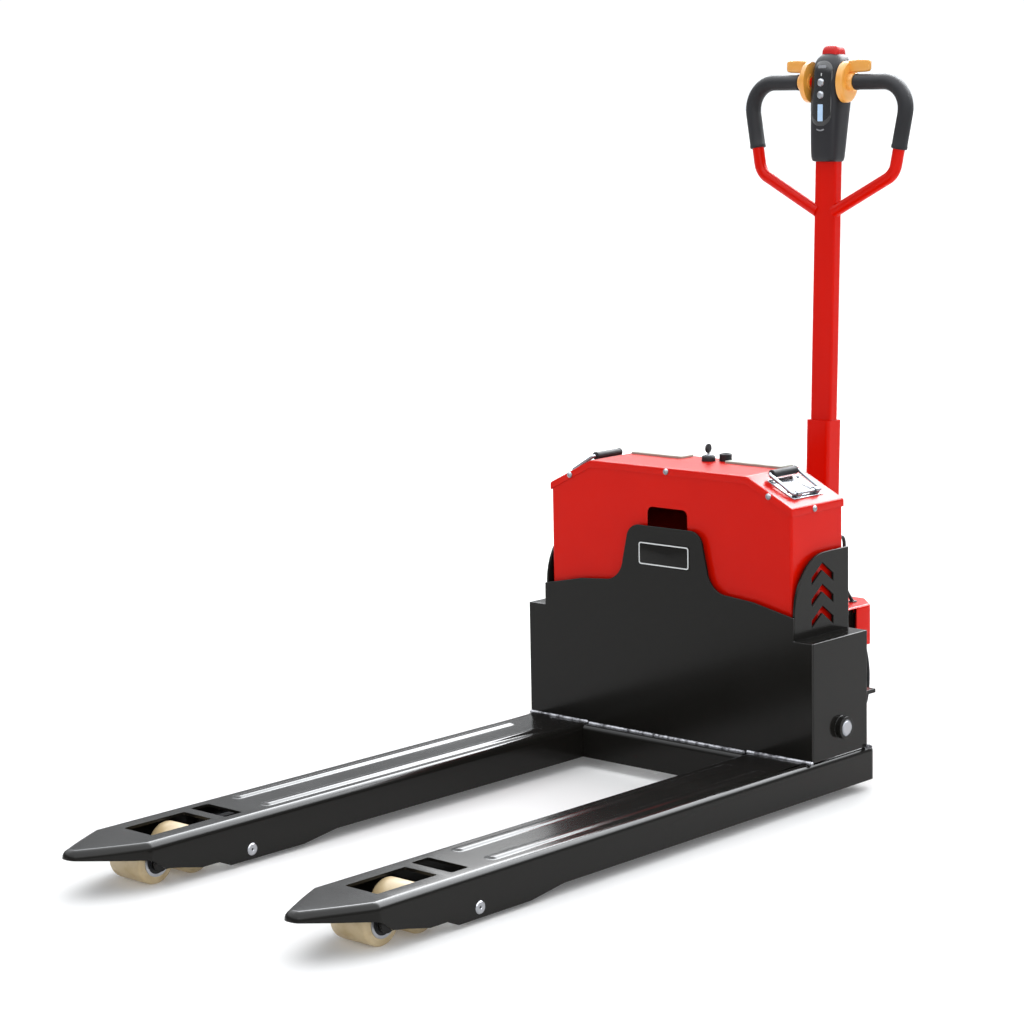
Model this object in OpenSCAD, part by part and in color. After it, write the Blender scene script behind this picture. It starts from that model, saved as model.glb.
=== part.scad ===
// Electric pallet truck: two forks on load rollers, a steered drive wheel under a tiller,
// and a battery cover that the fork frame slides up and down on.
// X is across, the forks point to -Y, the tiller stands at the +Y end, and the floor is Z = 0.
// The origin lies on the floor at the middle of the length and width.

/* [Overall] */
// Width over the outsides of the forks
overall_w = 685; // [640:5:720]
// Length of the forks from the mast plate to the tips
fork_l = 1220; // [1000:10:1300]
// Length from the mast plate to the back of the drive hood
body_l = 610; // [590:5:660]
// Lifting height of the forks
lift_h = 115; // [80:5:115]

/* [Forks] */
// Width of one fork
fork_w = 150; // [140:1:180]
// Height of the lowered fork's top face
fork_top = 85; // [83:1:95]
// Thickness of the fork's top and walls
fork_t = 5; // [4:0.5:6]
// Gap between the floor and the fork's walls
fork_clear = 20; // [15:1:25]
// Length of the tapered nose
nose_l = 112; // [90:1:130]
// Length of the fork behind the mast plate
fork_tail = 198; // [180:1:199]
// Depth of the nose at its tip
nose_t = 15; // [10:1:20]
// Height of the two pressed ribs on each fork
rib_h = 3; // [1:0.5:4]

/* [Load rollers] */
// Diameter of a load roller
roller_d = 78; // [70:1:78]
// Width of a load roller
roller_w = 84; // [70:1:86]
// Distance between the two rollers of a bogie
roller_pitch = 86; // [84:1:96]
// Distance from the fork's tip to the middle of the bogie
bogie_back = 202; // [190:1:210]
// Length of the roller arm
arm_l = 140; // [140:1:160]
// Diameter of the roller arm's hinge pin
pin_d = 22; // [16:1:24]
// Diameter of the roller axles
roller_axle_d = 17; // [14:1:22]

/* [Mast box] */
// Height of the box's top
box_h = 305; // [295:1:330]
// Depth of the box from front to back
box_d = 170; // [160:1:180]
// Thickness of the box's plates
plate_t = 5; // [4:0.5:5]
// Height of the hump in the front plate
hump_h = 485; // [470:1:490]
// Width of the hump
hump_w = 184; // [150:1:220]
// Height of the arrow plates at the sides
side_plate_h = 457; // [440:1:480]
// Diameter of the linkage shafts
crank_shaft_d = 25; // [20:1:28]

/* [Battery cover] */
// Width of the battery cover
cover_w = 578; // [560:1:578]
// Height of the lid's flat top
lid_h = 596.5; // [590:0.5:620]
// Height at which the lid's slopes end
lid_edge_h = 545; // [535:1:560]
// Width of the lid's flat top
lid_flat_w = 374; // [300:1:420]
// Wall of the cover and the lid
sheet_t = 2.5; // [2:0.5:3]
// Height of the cover's lower edge
cover_bottom = 209; // [209:1:240]

/* [Drive] */
// Diameter of the drive wheel
drive_d = 210; // [180:1:212]
// Width of the drive wheel
drive_w = 70; // [50:1:74]
// Diameter of the steering column
column_d = 56; // [45:1:60]
// Diameter of the caster wheels
caster_d = 75; // [60:1:80]
// Distance of the casters from the middle
caster_x = 215; // [200:1:220]

/* [Tiller] */
// Height of the tiller's hinge
tiller_pivot_h = 430; // [420:1:450]
// Width of the tiller tube
tube_w = 50; // [40:1:52]
// Depth of the tiller tube
tube_d = 25; // [20:1:30]
// Height of the upper handle bar
grip_h = 1299; // [1200:1:1320]
// Diameter of the handle tube
loop_d = 23.6; // [20:0.2:25]
// Diameter of the rubber grips
grip_d = 31; // [29:0.5:34]
// Backward lean of the tiller at rest
lean = 2; // [0:0.5:4]

/* [Fits] */
// Radial clearance of a turning fit
run_gap = 0.05; // [0.02:0.01:0.08]
// Clearance between parts that slide past each other
slide_gap = 0.5; // [0.4:0.1:1]
// Clearance around a button in its hole
button_gap = 0.4; // [0.3:0.1:0.6]

/* [Hidden] */
$fn = 48;
red = [0.79, 0.11, 0.04];
black = [0.15, 0.145, 0.14];
steel = [0.72, 0.72, 0.74];
rubber = [0.12, 0.12, 0.13];
plastic = [0.2, 0.2, 0.22];
amber = [0.9, 0.65, 0.25];
nylon = [0.88, 0.8, 0.66];
pale = [0.82, 0.84, 0.86];

face_y = (fork_l - body_l) / 2;
half_w = overall_w / 2;
fork_x = half_w - fork_w / 2;
fork_under = fork_top - fork_t;
edge_r = 10;
eps = 0.01;

// load rollers, hung on arms inside the forks
bogie_y = bogie_back - fork_l;
pin_y = bogie_y + arm_l;
pin_z = 26;
roller_r = roller_d / 2;
roller_side_gap = 2.5;
bogie_t = 8;
bogie_x = roller_w / 2 + roller_side_gap;
arm_x = bogie_x + bogie_t + 1.5;
arm_t = 8;
arm_hub_r = pin_d / 2 + 6;
lever_z = pin_z + 32;
stub_r = 8;
rod_x = fork_x + arm_x + arm_t / 2;
rod_r = 7;
rod_z = lever_z;
rod_end_gap = 12;
rod_push = 21;
slot1_l = 134;
slot1_w = 72;
slot2_l = 40;
slot2_w = 90;

// linkage cranks inside the box columns
crank_y = 90;
crank_z = 137;
crank_len = 82;
crank_end_r = 11;
crank_drop = 28;
riser_gap = 3;
riser_l = 10;
crank_up = 35;
crank_t = 8;
boss_r = 21;
boss_out = 12;

// mast box and the plates that slide past the battery cover
lid_w = cover_w + 2 * sheet_t;
screw_h = 3.5;
side_plate_x = lid_w / 2 + screw_h + slide_gap;
lid_front = plate_t + screw_h + slide_gap;
cover_front = lid_front + sheet_t;
cover_back = box_d - sheet_t;
lid_back = cover_back + sheet_t;
rim_h = 14;
shoulder_z = 348;
beam_out = 19;
notch_w = 96;
notch_top = 520;
bracket_top = notch_top - lift_h - 4;
bracket_h = 34;

// power unit and steering
hood_back = 114;
hood_side = 70;
hood_top = 262;
hood_skirt = 180;
hood_chamfer = 45;
steer_y = body_l - hood_back;
tray_z = cover_bottom;
tray_t = 8;
bulk_y = lid_back + 2;
bulk_t = 8;
arm_plate_z = 274;
arm_plate_t = 16;
bearing_r = 42;
bearing_low = 268;
bearing_high = 316;
housing_top = 480;
housing_w = 470;
housing_end = steer_y - 92;
housing_end_w = 210;
axle_z = drive_d / 2;
drive_axle_r = 15;
cheek_x = drive_w / 2 + 9;
cheek_t = 12;
head_plate_z = hood_top - 3 - 12;
caster_y = 275;
caster_plate_z = 150;
caster_trail = 28;
caster_w = 32;
lift_cyl_y = 88;
lift_cyl_r = 28;
lift_rod_r = 15;

// tiller, drawn upright and then leaned back about its hinge
pivot_r = 10;
boot_w = 55;
boot_d = 47;
boot_low = tiller_pivot_h - 22;
boot_high = 636;
head_low = 1145;
head_w = 72;
loop_y = -6;
loop_in_x = 30;
loop_out_x = 194;
loop_low_x = 161;
loop_low_z = grip_h - 177;
loop_join_z = grip_h - 262;
loop_bend = 52;
loop_low_bend = 38;
grip_run = 56;
hub_t = 14;
hub_x = head_w / 2 + 2.5;
grip_x = 66;
button_r = 8;
button_z = [grip_h - 1, grip_h - 25];
panel_low = grip_h - 84;
panel_high = grip_h + 26;
panel_w = 38;
panel_t = 3;
head_front = -29;
key_x = 5;
key_y = 130;
stop_x = 60;
stop_y = 262;

// lid handles, drawn on the lid's slope
slope_a = atan((lid_h - lid_edge_h) / (lid_w / 2 - lid_flat_w / 2));
handle_x = (lid_w / 2 + lid_flat_w / 2) / 2;
handle_z = (lid_h + lid_edge_h) / 2;
handle_y = 90;
bail_l = 62;
bail_w = 84;
bail_r = 3.5;
bail_hinge = 26;
bail_lift = 7;

// the motor cable's route on the steering head, measured from the steering axis
cable_r = 3.5;
cable_route = [
    [32, 16, 400], [32, 24, 400], [31, 31, 394], [28, 37, 378], [20, 42, 350], [17, 45, 324], [19, 49, 298],
    [25, 57, 276], [30, 63, 262], [38, 66, 240], [50, 64, 215], [59, 60, 192], [62, 61, 170], [65, 64, 145],
    [66, 66, 115], [66, 64, 85], [65, 59, 62], [63, 52, 51], [62, 45, 50], [62, 38, 58], [62, 32, 74],
    [62, 27, 92], [61, 23, 103], [59, 22, 106], [56, 22, 106]
];

// the safety button in the tiller head
belly_z = 1340;
belly_w = 40;
belly_d = 36;
belly_y = 10;

// centre line of the right half of the handle loop: straight runs joined by round bends
loop_corner = [loop_out_x, grip_h];
loop_low = [loop_low_x, loop_low_z];
loop_down = unit(loop_low - loop_corner);
loop_in = unit([0, loop_join_z] - loop_low);
turn1 = acos([1, 0] * loop_down);
turn2 = acos(loop_down * loop_in);
cut1 = loop_bend * tan(turn1 / 2);
cut2 = loop_low_bend * tan(turn2 / 2);
upper_bend = bend([loop_out_x - cut1, grip_h - loop_bend], loop_bend, 90, 90 - turn1);
lower_start = loop_low - loop_down * cut2;
lower_bend = bend(lower_start + loop_low_bend * [loop_down[1], -loop_down[0]], loop_low_bend,
    90 - turn1, 90 - turn1 - turn2);
grip_end = loop_corner + loop_down * (cut1 + grip_run);
loop_end = [0, loop_join_z] - loop_in * tube_w / 2;

// ---- helpers ----

module at_face() translate([0, face_y, 0]) children();

module both_sides() {
    children();
    mirror([1, 0, 0]) children();
}

// a shape drawn in X and Z, extruded from y0 to y1
module along_y(y0, y1) translate([0, y1, 0]) rotate([90, 0, 0]) linear_extrude(y1 - y0) children();

// a shape drawn in Y and Z, extruded from x0 to x1
module along_x(x0, x1) translate([x0, 0, 0]) rotate([90, 0, 90]) linear_extrude(x1 - x0) children();

module block(low, high) translate(low) cube(high - low);

module rod_x(x0, x1, y, z, r) translate([x0, y, z]) rotate([0, 90, 0]) cylinder(r = r, h = x1 - x0);

module rod_y(y0, y1, x, z, r) translate([x, y0, z]) rotate([-90, 0, 0]) cylinder(r = r, h = y1 - y0);

function arc(c, r, a0, a1, n = 10) = [
    for (i = [0:n]) [c[0] + r * cos(a0 + (a1 - a0) * i / n), c[1] + r * sin(a0 + (a1 - a0) * i / n)]
];

function mirrored(points) = [for (i = [len(points) - 1:-1:0]) [-points[i][0], points[i][1]]];

// a rectangle with its two upper corners rounded
module arch(w, low, high, r) {
    translate([-w / 2, low]) square([w, high - r - low]);
    translate([-w / 2 + r, high - r - eps]) square([w - 2 * r, r + eps]);
    for (s = [-1, 1]) translate([s * (w / 2 - r), high - r]) circle(r);
}

// a box with rounded upright edges
module post(w, d, low, high, r) translate([0, 0, low]) linear_extrude(high - low) {
    square([w - 2 * r, d], center = true);
    square([w, d - 2 * r], center = true);
    for (sx = [-1, 1], sy = [-1, 1]) translate([sx * (w / 2 - r), sy * (d / 2 - r)]) circle(r);
}

function unit(v) = v / norm(v);
function tangent(path, i) = unit(path[min(i + 1, len(path) - 1)] - path[max(i - 1, 0)]);

// a tube along a list of points; aside is any direction that the path never takes
module cable(path, r, sides = 8, aside = [1, 0.3, 0]) {
    rings = [for (i = [0:len(path) - 1])
        let (t = tangent(path, i), u = unit(cross(t, aside)), v = cross(t, u))
        for (k = [0:sides - 1]) path[i] + r * (cos(k * 360 / sides) * u + sin(k * 360 / sides) * v)];
    last = (len(path) - 1) * sides;
    polyhedron(rings, concat(
        [[for (k = [0:sides - 1]) k]],
        [[for (k = [sides - 1:-1:0]) last + k]],
        [for (i = [0:len(path) - 2], k = [0:sides - 1]) let (a = i * sides, m = (k + 1) % sides)
            [a + k, a + sides + k, a + sides + m, a + m]]));
}

// ---- fork frame ----

module fork_section(w, low, r) {
    arch(w, low, fork_top, r);
}

module fork_plan() {
    tip = -fork_l;
    r = 16;
    tip_w = 40;
    right = concat([[fork_w / 2, tip + nose_l]], arc([tip_w / 2 - r, tip + r], r, -30, -90, 6));
    polygon(concat(right, mirrored(right)));
}

// a pressed bead along the fork with a narrow flat on its crest, where the load lies
module rib(x) {
    r = 9.7;
    flat_cut = 0.4;
    front = pin_y + 58;
    rear = -95;
    intersection() {
        translate([x, 0, fork_top + rib_h + flat_cut - r]) union() {
            rod_y(front, rear, 0, 0, r);
            for (y = [front, rear]) translate([0, y, 0]) sphere(r);
        }
        block([x - r, front - r, fork_top - 2], [x + r, rear + r, fork_top + rib_h]);
    }
}

module fork() {
    wall_in = fork_w / 2 - fork_t;
    tail_start = -fork_l + nose_l;
    nose_root = fork_top - nose_t - 13;
    pin_skirt = 9;
    difference() {
        union() {
            along_y(tail_start, fork_tail) fork_section(fork_w, fork_clear, edge_r);
            intersection() {
                along_y(-fork_l, tail_start + eps) fork_section(fork_w, nose_root, edge_r);
                linear_extrude(fork_top) fork_plan();
                along_x(-fork_w, fork_w) polygon([[-fork_l, fork_top], [-fork_l, fork_top - nose_t],
                    [tail_start + 1, nose_root], [tail_start + 1, fork_top]]);
            }
            for (s = [-1, 1]) along_x(s > 0 ? wall_in : -fork_w / 2, s > 0 ? fork_w / 2 : -wall_in)
                polygon([[pin_y - 95, 30], [pin_y - 60, pin_skirt], [pin_y + 120, pin_skirt],
                    [pin_y + 200, fork_clear + 1], [pin_y - 95, fork_clear + 10]]);
            for (x = [-37, 37]) rib(x);
        }
        block([-wall_in, tail_start, -eps], [wall_in, fork_tail - fork_t, fork_under]);
        block([-slot1_w / 2, bogie_y - 49, fork_under - eps],
              [slot1_w / 2, bogie_y - 49 + slot1_l, fork_top + 1]);
        block([-slot2_w / 2, pin_y - 33, fork_under - eps],
              [slot2_w / 2, pin_y - 33 + slot2_l, fork_top + 1]);
        // slot for the push rod's riser
        block([rod_x - fork_x - crank_t, crank_y - 8 - riser_gap - riser_l - rod_push - 4, fork_under - eps],
              [rod_x - fork_x + crank_t, crank_y, fork_top + 1]);
        // the walls are cut away over the front roller
        for (s = [-1, 1]) along_x(s * fork_w / 2 - fork_t - 1, s * fork_w / 2 + fork_t + 1) polygon([
            [tail_start - eps, fork_clear - 1], [tail_start - eps, nose_root], [tail_start + 6, nose_root - 4],
            [bogie_y - 54, roller_r - 3], [bogie_y - 24, roller_r - 8], [bogie_y + 26, fork_clear - 1]]);
        rod_x(-fork_w, fork_w, pin_y, pin_z, pin_d / 2);
    }
}

module fork_right() at_face() color(black) translate([fork_x, 0, 0]) fork();

module fork_left() at_face() color(black) mirror([1, 0, 0]) translate([fork_x, 0, 0]) fork();

module cross_beam() at_face() color(black) {
    inner = fork_x - fork_w / 2;
    r = edge_r;
    difference() {
        along_x(-inner, inner) union() {
            translate([-beam_out, fork_clear]) square([beam_out + 40, fork_top - 2 - r - fork_clear]);
            translate([-beam_out + r, fork_top - 2 - r - eps]) square([beam_out + 40 - r, r + eps]);
            translate([-beam_out + r, fork_top - 2 - r]) circle(r);
        }
        along_x(-inner - eps, inner + eps)
            translate([-beam_out + plate_t, fork_clear - eps])
            square([60, fork_top - 2 - plate_t - fork_clear]);
    }
}

// outline of the front plate in X and Z
module front_outline() {
    top_r = 30;
    foot_r = 46;
    side_in = hump_w / 2;
    foot_x = side_in + 10;
    side_x = side_plate_x + plate_t;
    right = concat(
        [[half_w, fork_top], [half_w, box_h], [side_x, box_h], [side_x, shoulder_z]],
        [[foot_x + foot_r + 60, shoulder_z + 19]],
        arc([foot_x + foot_r, shoulder_z + 24 + foot_r], foot_r, 272, 186, 10),
        arc([side_in - top_r, hump_h - top_r], top_r, 6, 90, 8));
    polygon(concat(right, mirrored(right)));
}

module front_plate() at_face() color(black) along_y(0, plate_t) front_outline();

module side_boxes() at_face() color(black) both_sides() {
    inner = side_plate_x + plate_t;
    difference() {
        union() {
            block([half_w - plate_t, plate_t, fork_top], [half_w, box_d, box_h]);
            block([inner, plate_t, box_h - plate_t], [half_w, box_d, box_h]);
            rod_x(half_w - plate_t - 4, half_w + boss_out, crank_y, crank_z, boss_r);
        }
        rod_x(half_w - 40, half_w + 40, crank_y, crank_z, crank_shaft_d / 2 + run_gap);
    }
}

module arrow() polygon([[0, 0], [33, -24], [33, -38], [0, -14], [-33, -38], [-33, -24]]);

module arrow_plates() at_face() color(black) both_sides() {
    rx = 92;
    rz = side_plate_h - shoulder_z;
    curve = [for (a = [180:-9:90]) [plate_t + rx + rx * cos(a), shoulder_z + rz * sin(a)]];
    difference() {
        along_x(side_plate_x, side_plate_x + plate_t)
            polygon(concat([[plate_t, fork_top]], curve, [[box_d, side_plate_h], [box_d, fork_top]]));
        along_x(side_plate_x - 1, side_plate_x + plate_t + 1)
            for (i = [0:2]) translate([90, side_plate_h - 19 - 40 * i]) arrow();
    }
}

module weld_beads() at_face() color(steel) {
    r = 4;
    inner = fork_x - fork_w / 2;
    difference() {
        union() {
            rod_x(-half_w + 12, half_w - 12, 0, fork_top, r);
            both_sides() rod_x(side_plate_x + plate_t, half_w - 1, box_d, fork_top, r);
        }
        // only the fillet outside the plates is weld metal
        block([-half_w, -eps, fork_top - 20], [half_w, box_d + eps, box_h]);
        both_sides() block([inner, -20, 0], [half_w, box_d + 20, fork_top]);
        block([-inner - 1, -20, 0], [inner + 1, box_d + 20, fork_top - 2]);
    }
}

module nameplate() at_face() color(pale) {
    w = 124;
    h = 46;
    z = hump_h - 76;
    difference() {
        along_y(-1.2, 0) translate([-w / 2, z]) square([w, h]);
        along_y(-2, -0.5) translate([-w / 2 + 3, z + 3]) square([w - 6, h - 6]);
    }
}

module lift_bracket() at_face() color(black) {
    w = notch_w - 20;
    back = lift_cyl_y + lift_cyl_r;
    block([-w / 2, plate_t, bracket_top - bracket_h], [w / 2, back, bracket_top - bracket_h + 16]);
    for (s = [-1, 1]) block([s * w / 2 - (s > 0 ? 8 : 0), plate_t, bracket_top - bracket_h],
                            [s * w / 2 + (s > 0 ? 0 : 8), back - 20, bracket_top]);
}

module lift_rod() at_face() color(steel) {
    low = tray_z + 5;
    translate([0, lift_cyl_y, low]) cylinder(r = lift_rod_r, h = bracket_top - bracket_h - low);
}

module fork_pins() at_face() color(steel) both_sides()
    rod_x(fork_x - fork_w / 2 - 1.5, fork_x + fork_w / 2 + 1.5, pin_y, pin_z, pin_d / 2);

// ---- linkage and load rollers ----

module linkage_cranks() at_face() color(steel) both_sides() {
    rod_x(rod_x - crank_t / 2 - 4, half_w + boss_out + 1, crank_y, crank_z, crank_shaft_d / 2);
    along_x(rod_x - crank_t / 2, rod_x + crank_t / 2) translate([crank_y, crank_z]) difference() {
        union() {
            circle(19);
            rotate(crank_up) {
                translate([0, -9]) square([crank_len, 18]);
                translate([crank_len, 0]) circle(crank_end_r);
            }
            translate([-8, -crank_drop]) square([16, crank_drop]);
            translate([0, -crank_drop]) circle(8);
        }
        rotate(crank_up) translate([crank_len, 0]) circle(5);
    }
}

module push_rods() at_face() color(steel) both_sides() {
    riser_back = crank_y - 8 - riser_gap;
    rod_y(pin_y + rod_end_gap, riser_back - riser_l + eps, rod_x, rod_z, rod_r);
    block([rod_x - crank_t / 2, riser_back - riser_l, rod_z - rod_r],
          [rod_x + crank_t / 2, riser_back, crank_z - crank_drop + 10]);
}

module roller_arms() at_face() color(black) both_sides() translate([fork_x, 0, 0]) {
    lean_a = atan2(roller_r - pin_z, -arm_l);
    difference() {
        union() {
            for (s = [-1, 1]) along_x(s > 0 ? arm_x : -arm_x - arm_t, s > 0 ? arm_x + arm_t : -arm_x) {
                translate([pin_y, pin_z]) circle(arm_hub_r);
                translate([bogie_y, roller_r]) circle(14);
                translate([pin_y, pin_z]) rotate(lean_a) translate([0, -11]) square([arm_l, 22]);
                if (s > 0) translate([pin_y - 8, pin_z]) square([16, lever_z - pin_z]);
                if (s > 0) translate([pin_y, lever_z]) circle(8);
            }
            rod_x(-arm_x - arm_t, arm_x + arm_t, pin_y, pin_z, arm_hub_r);
            both_sides() rod_x(bogie_x, arm_x + eps, bogie_y, roller_r, stub_r);
        }
        rod_x(-fork_w, fork_w, pin_y, pin_z, pin_d / 2 + run_gap);
    }
}

module bogie() {
    difference() {
        for (s = [-1, 1]) along_x(s > 0 ? bogie_x : -bogie_x - bogie_t, s > 0 ? bogie_x + bogie_t : -bogie_x) {
            translate([bogie_y - roller_pitch / 2, roller_r - 13]) square([roller_pitch, 26]);
            for (e = [-1, 1]) translate([bogie_y + e * roller_pitch / 2, roller_r]) circle(15);
        }
        rod_x(-arm_x, arm_x, bogie_y, roller_r, stub_r + run_gap);
        for (e = [-1, 1])
            rod_x(-arm_x, arm_x, bogie_y + e * roller_pitch / 2, roller_r, roller_axle_d / 2);
    }
    for (e = [-1, 1])
        rod_x(-bogie_x - bogie_t, bogie_x + bogie_t, bogie_y + e * roller_pitch / 2, roller_r,
            roller_axle_d / 2);
}

module bogie_right() at_face() color(steel) translate([fork_x, 0, 0]) bogie();

module bogie_left() at_face() color(steel) translate([-fork_x, 0, 0]) bogie();

// a load roller at one end of a bogie: side is -1 or 1 for left or right, end -1 front, 1 rear
module roller(side, end) {
    w = roller_w / 2;
    bore = roller_axle_d / 2 + run_gap;
    translate([side * fork_x, bogie_y + end * roller_pitch / 2, roller_r]) rotate([0, 90, 0])
        rotate_extrude() polygon([[bore, -w], [21, -w], [21, -w + 2], [roller_r - 4, -w + 2],
            [roller_r, -w + 7], [roller_r, w - 7], [roller_r - 4, w - 2], [21, w - 2], [21, w], [bore, w]]);
}

module roller_front_left() at_face() color(nylon) roller(-1, -1);
module roller_rear_left() at_face() color(nylon) roller(-1, 1);
module roller_front_right() at_face() color(nylon) roller(1, -1);
module roller_rear_right() at_face() color(nylon) roller(1, 1);

// ---- power unit ----

module chassis_frame() at_face() color(black) {
    tray_w = cover_w;
    between = fork_x - fork_w / 2 - 6;
    web_x = between - 6;
    web_t = 8;
    arm_w = 68;
    difference() {
        union() {
            // battery tray and the bulkhead behind it
            block([-tray_w / 2, cover_front, tray_z - tray_t], [tray_w / 2, bulk_y + bulk_t, tray_z]);
            block([-tray_w / 2, bulk_y, tray_z - eps], [tray_w / 2, bulk_y + bulk_t, 330]);
            block([-between, bulk_y, caster_plate_z], [between, bulk_y + bulk_t, tray_z]);
            block([3 - housing_w / 2, bulk_y, 329], [housing_w / 2 - 3, bulk_y + bulk_t, housing_top - 3]);
            // tapered arm that carries the steering bearing
            translate([0, 0, arm_plate_z]) linear_extrude(arm_plate_t) union() {
                housing_plan(0);
                translate([-arm_w / 2, housing_end - 1]) square([arm_w, steer_y - housing_end]);
                polygon([[-housing_end_w / 2, housing_end - eps], [housing_end_w / 2, housing_end - eps],
                    [arm_w / 2, housing_end + 32], [-arm_w / 2, housing_end + 32]]);
            }
            translate([0, steer_y, bearing_low]) cylinder(r = bearing_r, h = bearing_high - bearing_low);
            // webs and the caster plates they hold, clear of the fork tails
            both_sides() {
                block([web_x - web_t, bulk_y, caster_plate_z], [web_x, caster_y + 20, arm_plate_z + eps]);
                block([min(web_x - web_t, caster_x - 44), fork_tail + 4, caster_plate_z],
                      [max(web_x, caster_x + 44), caster_y + 40, caster_plate_z + 8]);
            }
        }
        translate([0, steer_y, 0]) cylinder(r = column_d / 2 + run_gap, h = 400);
        both_sides() translate([caster_x, caster_y, caster_plate_z - 1])
            cylinder(r = 8 + run_gap, h = 12);
        // seat of the lift cylinder's foot
        translate([0, lift_cyl_y, tray_z - 3]) cylinder(r = lift_cyl_r, h = 10);
    }
}

module cover_outline(grow = 0) {
    w = cover_w / 2 + grow;
    flat = lid_flat_w / 2;
    top = lid_h - sheet_t + grow;
    edge = lid_edge_h - sheet_t + grow;
    polygon([[-w, cover_bottom], [w, cover_bottom], [w, edge], [flat, top], [-flat, top], [-w, edge]]);
}

module power_cover() at_face() color(red) difference() {
    along_y(cover_front, cover_back) cover_outline();
    along_y(cover_front + sheet_t, cover_back - sheet_t) union() {
        w = cover_w / 2 - sheet_t;
        translate([-w, cover_bottom - 1]) square([2 * w, lid_h]);
    }
    // slot for the lift bracket
    along_y(cover_front - 1, cover_front + sheet_t + 1)
        arch(notch_w, bracket_top - bracket_h - 6, notch_top, 12);
}

module lid_rim_cut() polygon([
    [-lid_w, 0], [lid_w, 0], [lid_w, lid_edge_h - rim_h], [lid_w / 2, lid_edge_h - rim_h],
    [lid_flat_w / 2, lid_h - rim_h], [-lid_flat_w / 2, lid_h - rim_h],
    [-lid_w / 2, lid_edge_h - rim_h], [-lid_w, lid_edge_h - rim_h]]);

module cover_lid() at_face() color(red) difference() {
    along_y(lid_front, lid_back) cover_outline(sheet_t);
    along_y(cover_front, cover_back) cover_outline();
    along_y(lid_front - 1, lid_back + 1) lid_rim_cut();
}

module cup_screw() {
    rotate_extrude() polygon([[0, 0], [6, 0], [5.2, 2.2], [3, screw_h], [0, screw_h]]);
}

module lid_screws() at_face() color(steel) {
    z_mid = lid_h - rim_h / 2;
    z_slope = (lid_h + lid_edge_h) / 2 - rim_h / 2;
    x_slope = (lid_w + lid_flat_w) / 4;
    for (p = [[0, z_mid], [x_slope, z_slope], [-x_slope, z_slope]])
        translate([p[0], lid_front, p[1]]) rotate([90, 0, 0]) cup_screw();
    both_sides() translate([lid_w / 2, 78, lid_edge_h - rim_h / 2]) rotate([0, 90, 0]) cup_screw();
}

module lid_panels() at_face() color(pale) {
    block([-182, 122, lid_h], [-56, 164, lid_h + 4]);
    block([48, 122, lid_h], [182, 164, lid_h + 4]);
}

module key_switch() at_face() color(plastic) difference() {
    translate([key_x, key_y, lid_h]) cylinder(r = 13, h = 12);
    translate([key_x, key_y, lid_h + 4]) cylinder(r = 5 + run_gap, h = 12);
}

module ignition_key() at_face() color(steel) translate([key_x, key_y, lid_h]) {
    translate([0, 0, 4]) cylinder(r = 5, h = 9);
    translate([-1.5, -2.5, 12]) cube([3, 5, 8]);
    translate([-1.5, 0, 24]) rotate([0, 90, 0]) cylinder(r = 9, h = 3);
}

module charge_socket() at_face() color(plastic) difference() {
    translate([32, 148, lid_h]) cylinder(r = 12, h = 14);
    translate([32, 148, lid_h + 6]) cylinder(r = 8, h = 12);
}

module battery_pack() at_face() color(plastic) both_sides() {
    low_x = notch_w / 2 + 16;
    high_x = cover_w / 2 - 12;
    block([low_x, cover_front + 12, tray_z], [high_x, cover_back - 12, tray_z + 235]);
    for (x = [low_x + 30, high_x - 30]) translate([x, cover_front + 34, tray_z + 235])
        cylinder(r = 9, h = 14);
}

module motor_controller() at_face() color(steel) {
    base = arm_plate_z + arm_plate_t;
    y0 = housing_end - 92;
    block([-70, y0, base], [70, y0 + 78, base + 22]);
    for (i = [0:8]) block([-66 + 16 * i, y0, base + 22], [-62 + 16 * i, y0 + 78, base + 44]);
}

module power_pack() at_face() color(steel) {
    y = bulk_y + 66;
    z = 372;
    base = arm_plate_z + arm_plate_t;
    rod_x(-165, -30, y, z, 42);
    block([-30, y - 38, base], [22, y + 38, z + 38]);
    rod_x(22, 160, y, z, 46);
    rod_x(-172, -165, y, z, 30);
}

module lift_cylinder() at_face() color(black) {
    low = tray_z - 3;
    high = bracket_top - bracket_h - 12;
    difference() {
        translate([0, lift_cyl_y, low]) cylinder(r = lift_cyl_r, h = high - low);
        translate([0, lift_cyl_y, low + 6]) cylinder(r = lift_rod_r + run_gap, h = high);
    }
}

module housing_plan(inset) {
    y0 = bulk_y + bulk_t;
    w = housing_w / 2 - inset;
    w2 = housing_end_w / 2 - inset;
    polygon([[-w, y0], [w, y0], [w, y0 + 24], [w2, housing_end - inset],
        [-w2, housing_end - inset], [-w, y0 + 24]]);
}

module rear_housing() at_face() color(red) difference() {
    translate([0, 0, arm_plate_z + arm_plate_t]) linear_extrude(housing_top - arm_plate_z - arm_plate_t)
        housing_plan(0);
    translate([0, 0, arm_plate_z]) linear_extrude(housing_top - arm_plate_z - 3) housing_plan(3);
    translate([stop_x, stop_y, housing_top - 10]) cylinder(r = 7 + run_gap, h = 20);
}

module stop_button() at_face() color(red) translate([stop_x, stop_y, housing_top]) {
    translate([0, 0, -14]) cylinder(r = 7, h = 24);
    translate([0, 0, 8]) rotate_extrude()
        polygon([[0, 0], [18, 0], [20, 3], [20, 8], [17, 12], [0, 13]]);
}

// places its children on the right slope of the lid: x runs down the slope, z stands out of it
module on_slope() translate([handle_x, handle_y, handle_z]) rotate([0, slope_a, 0]) children();

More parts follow.
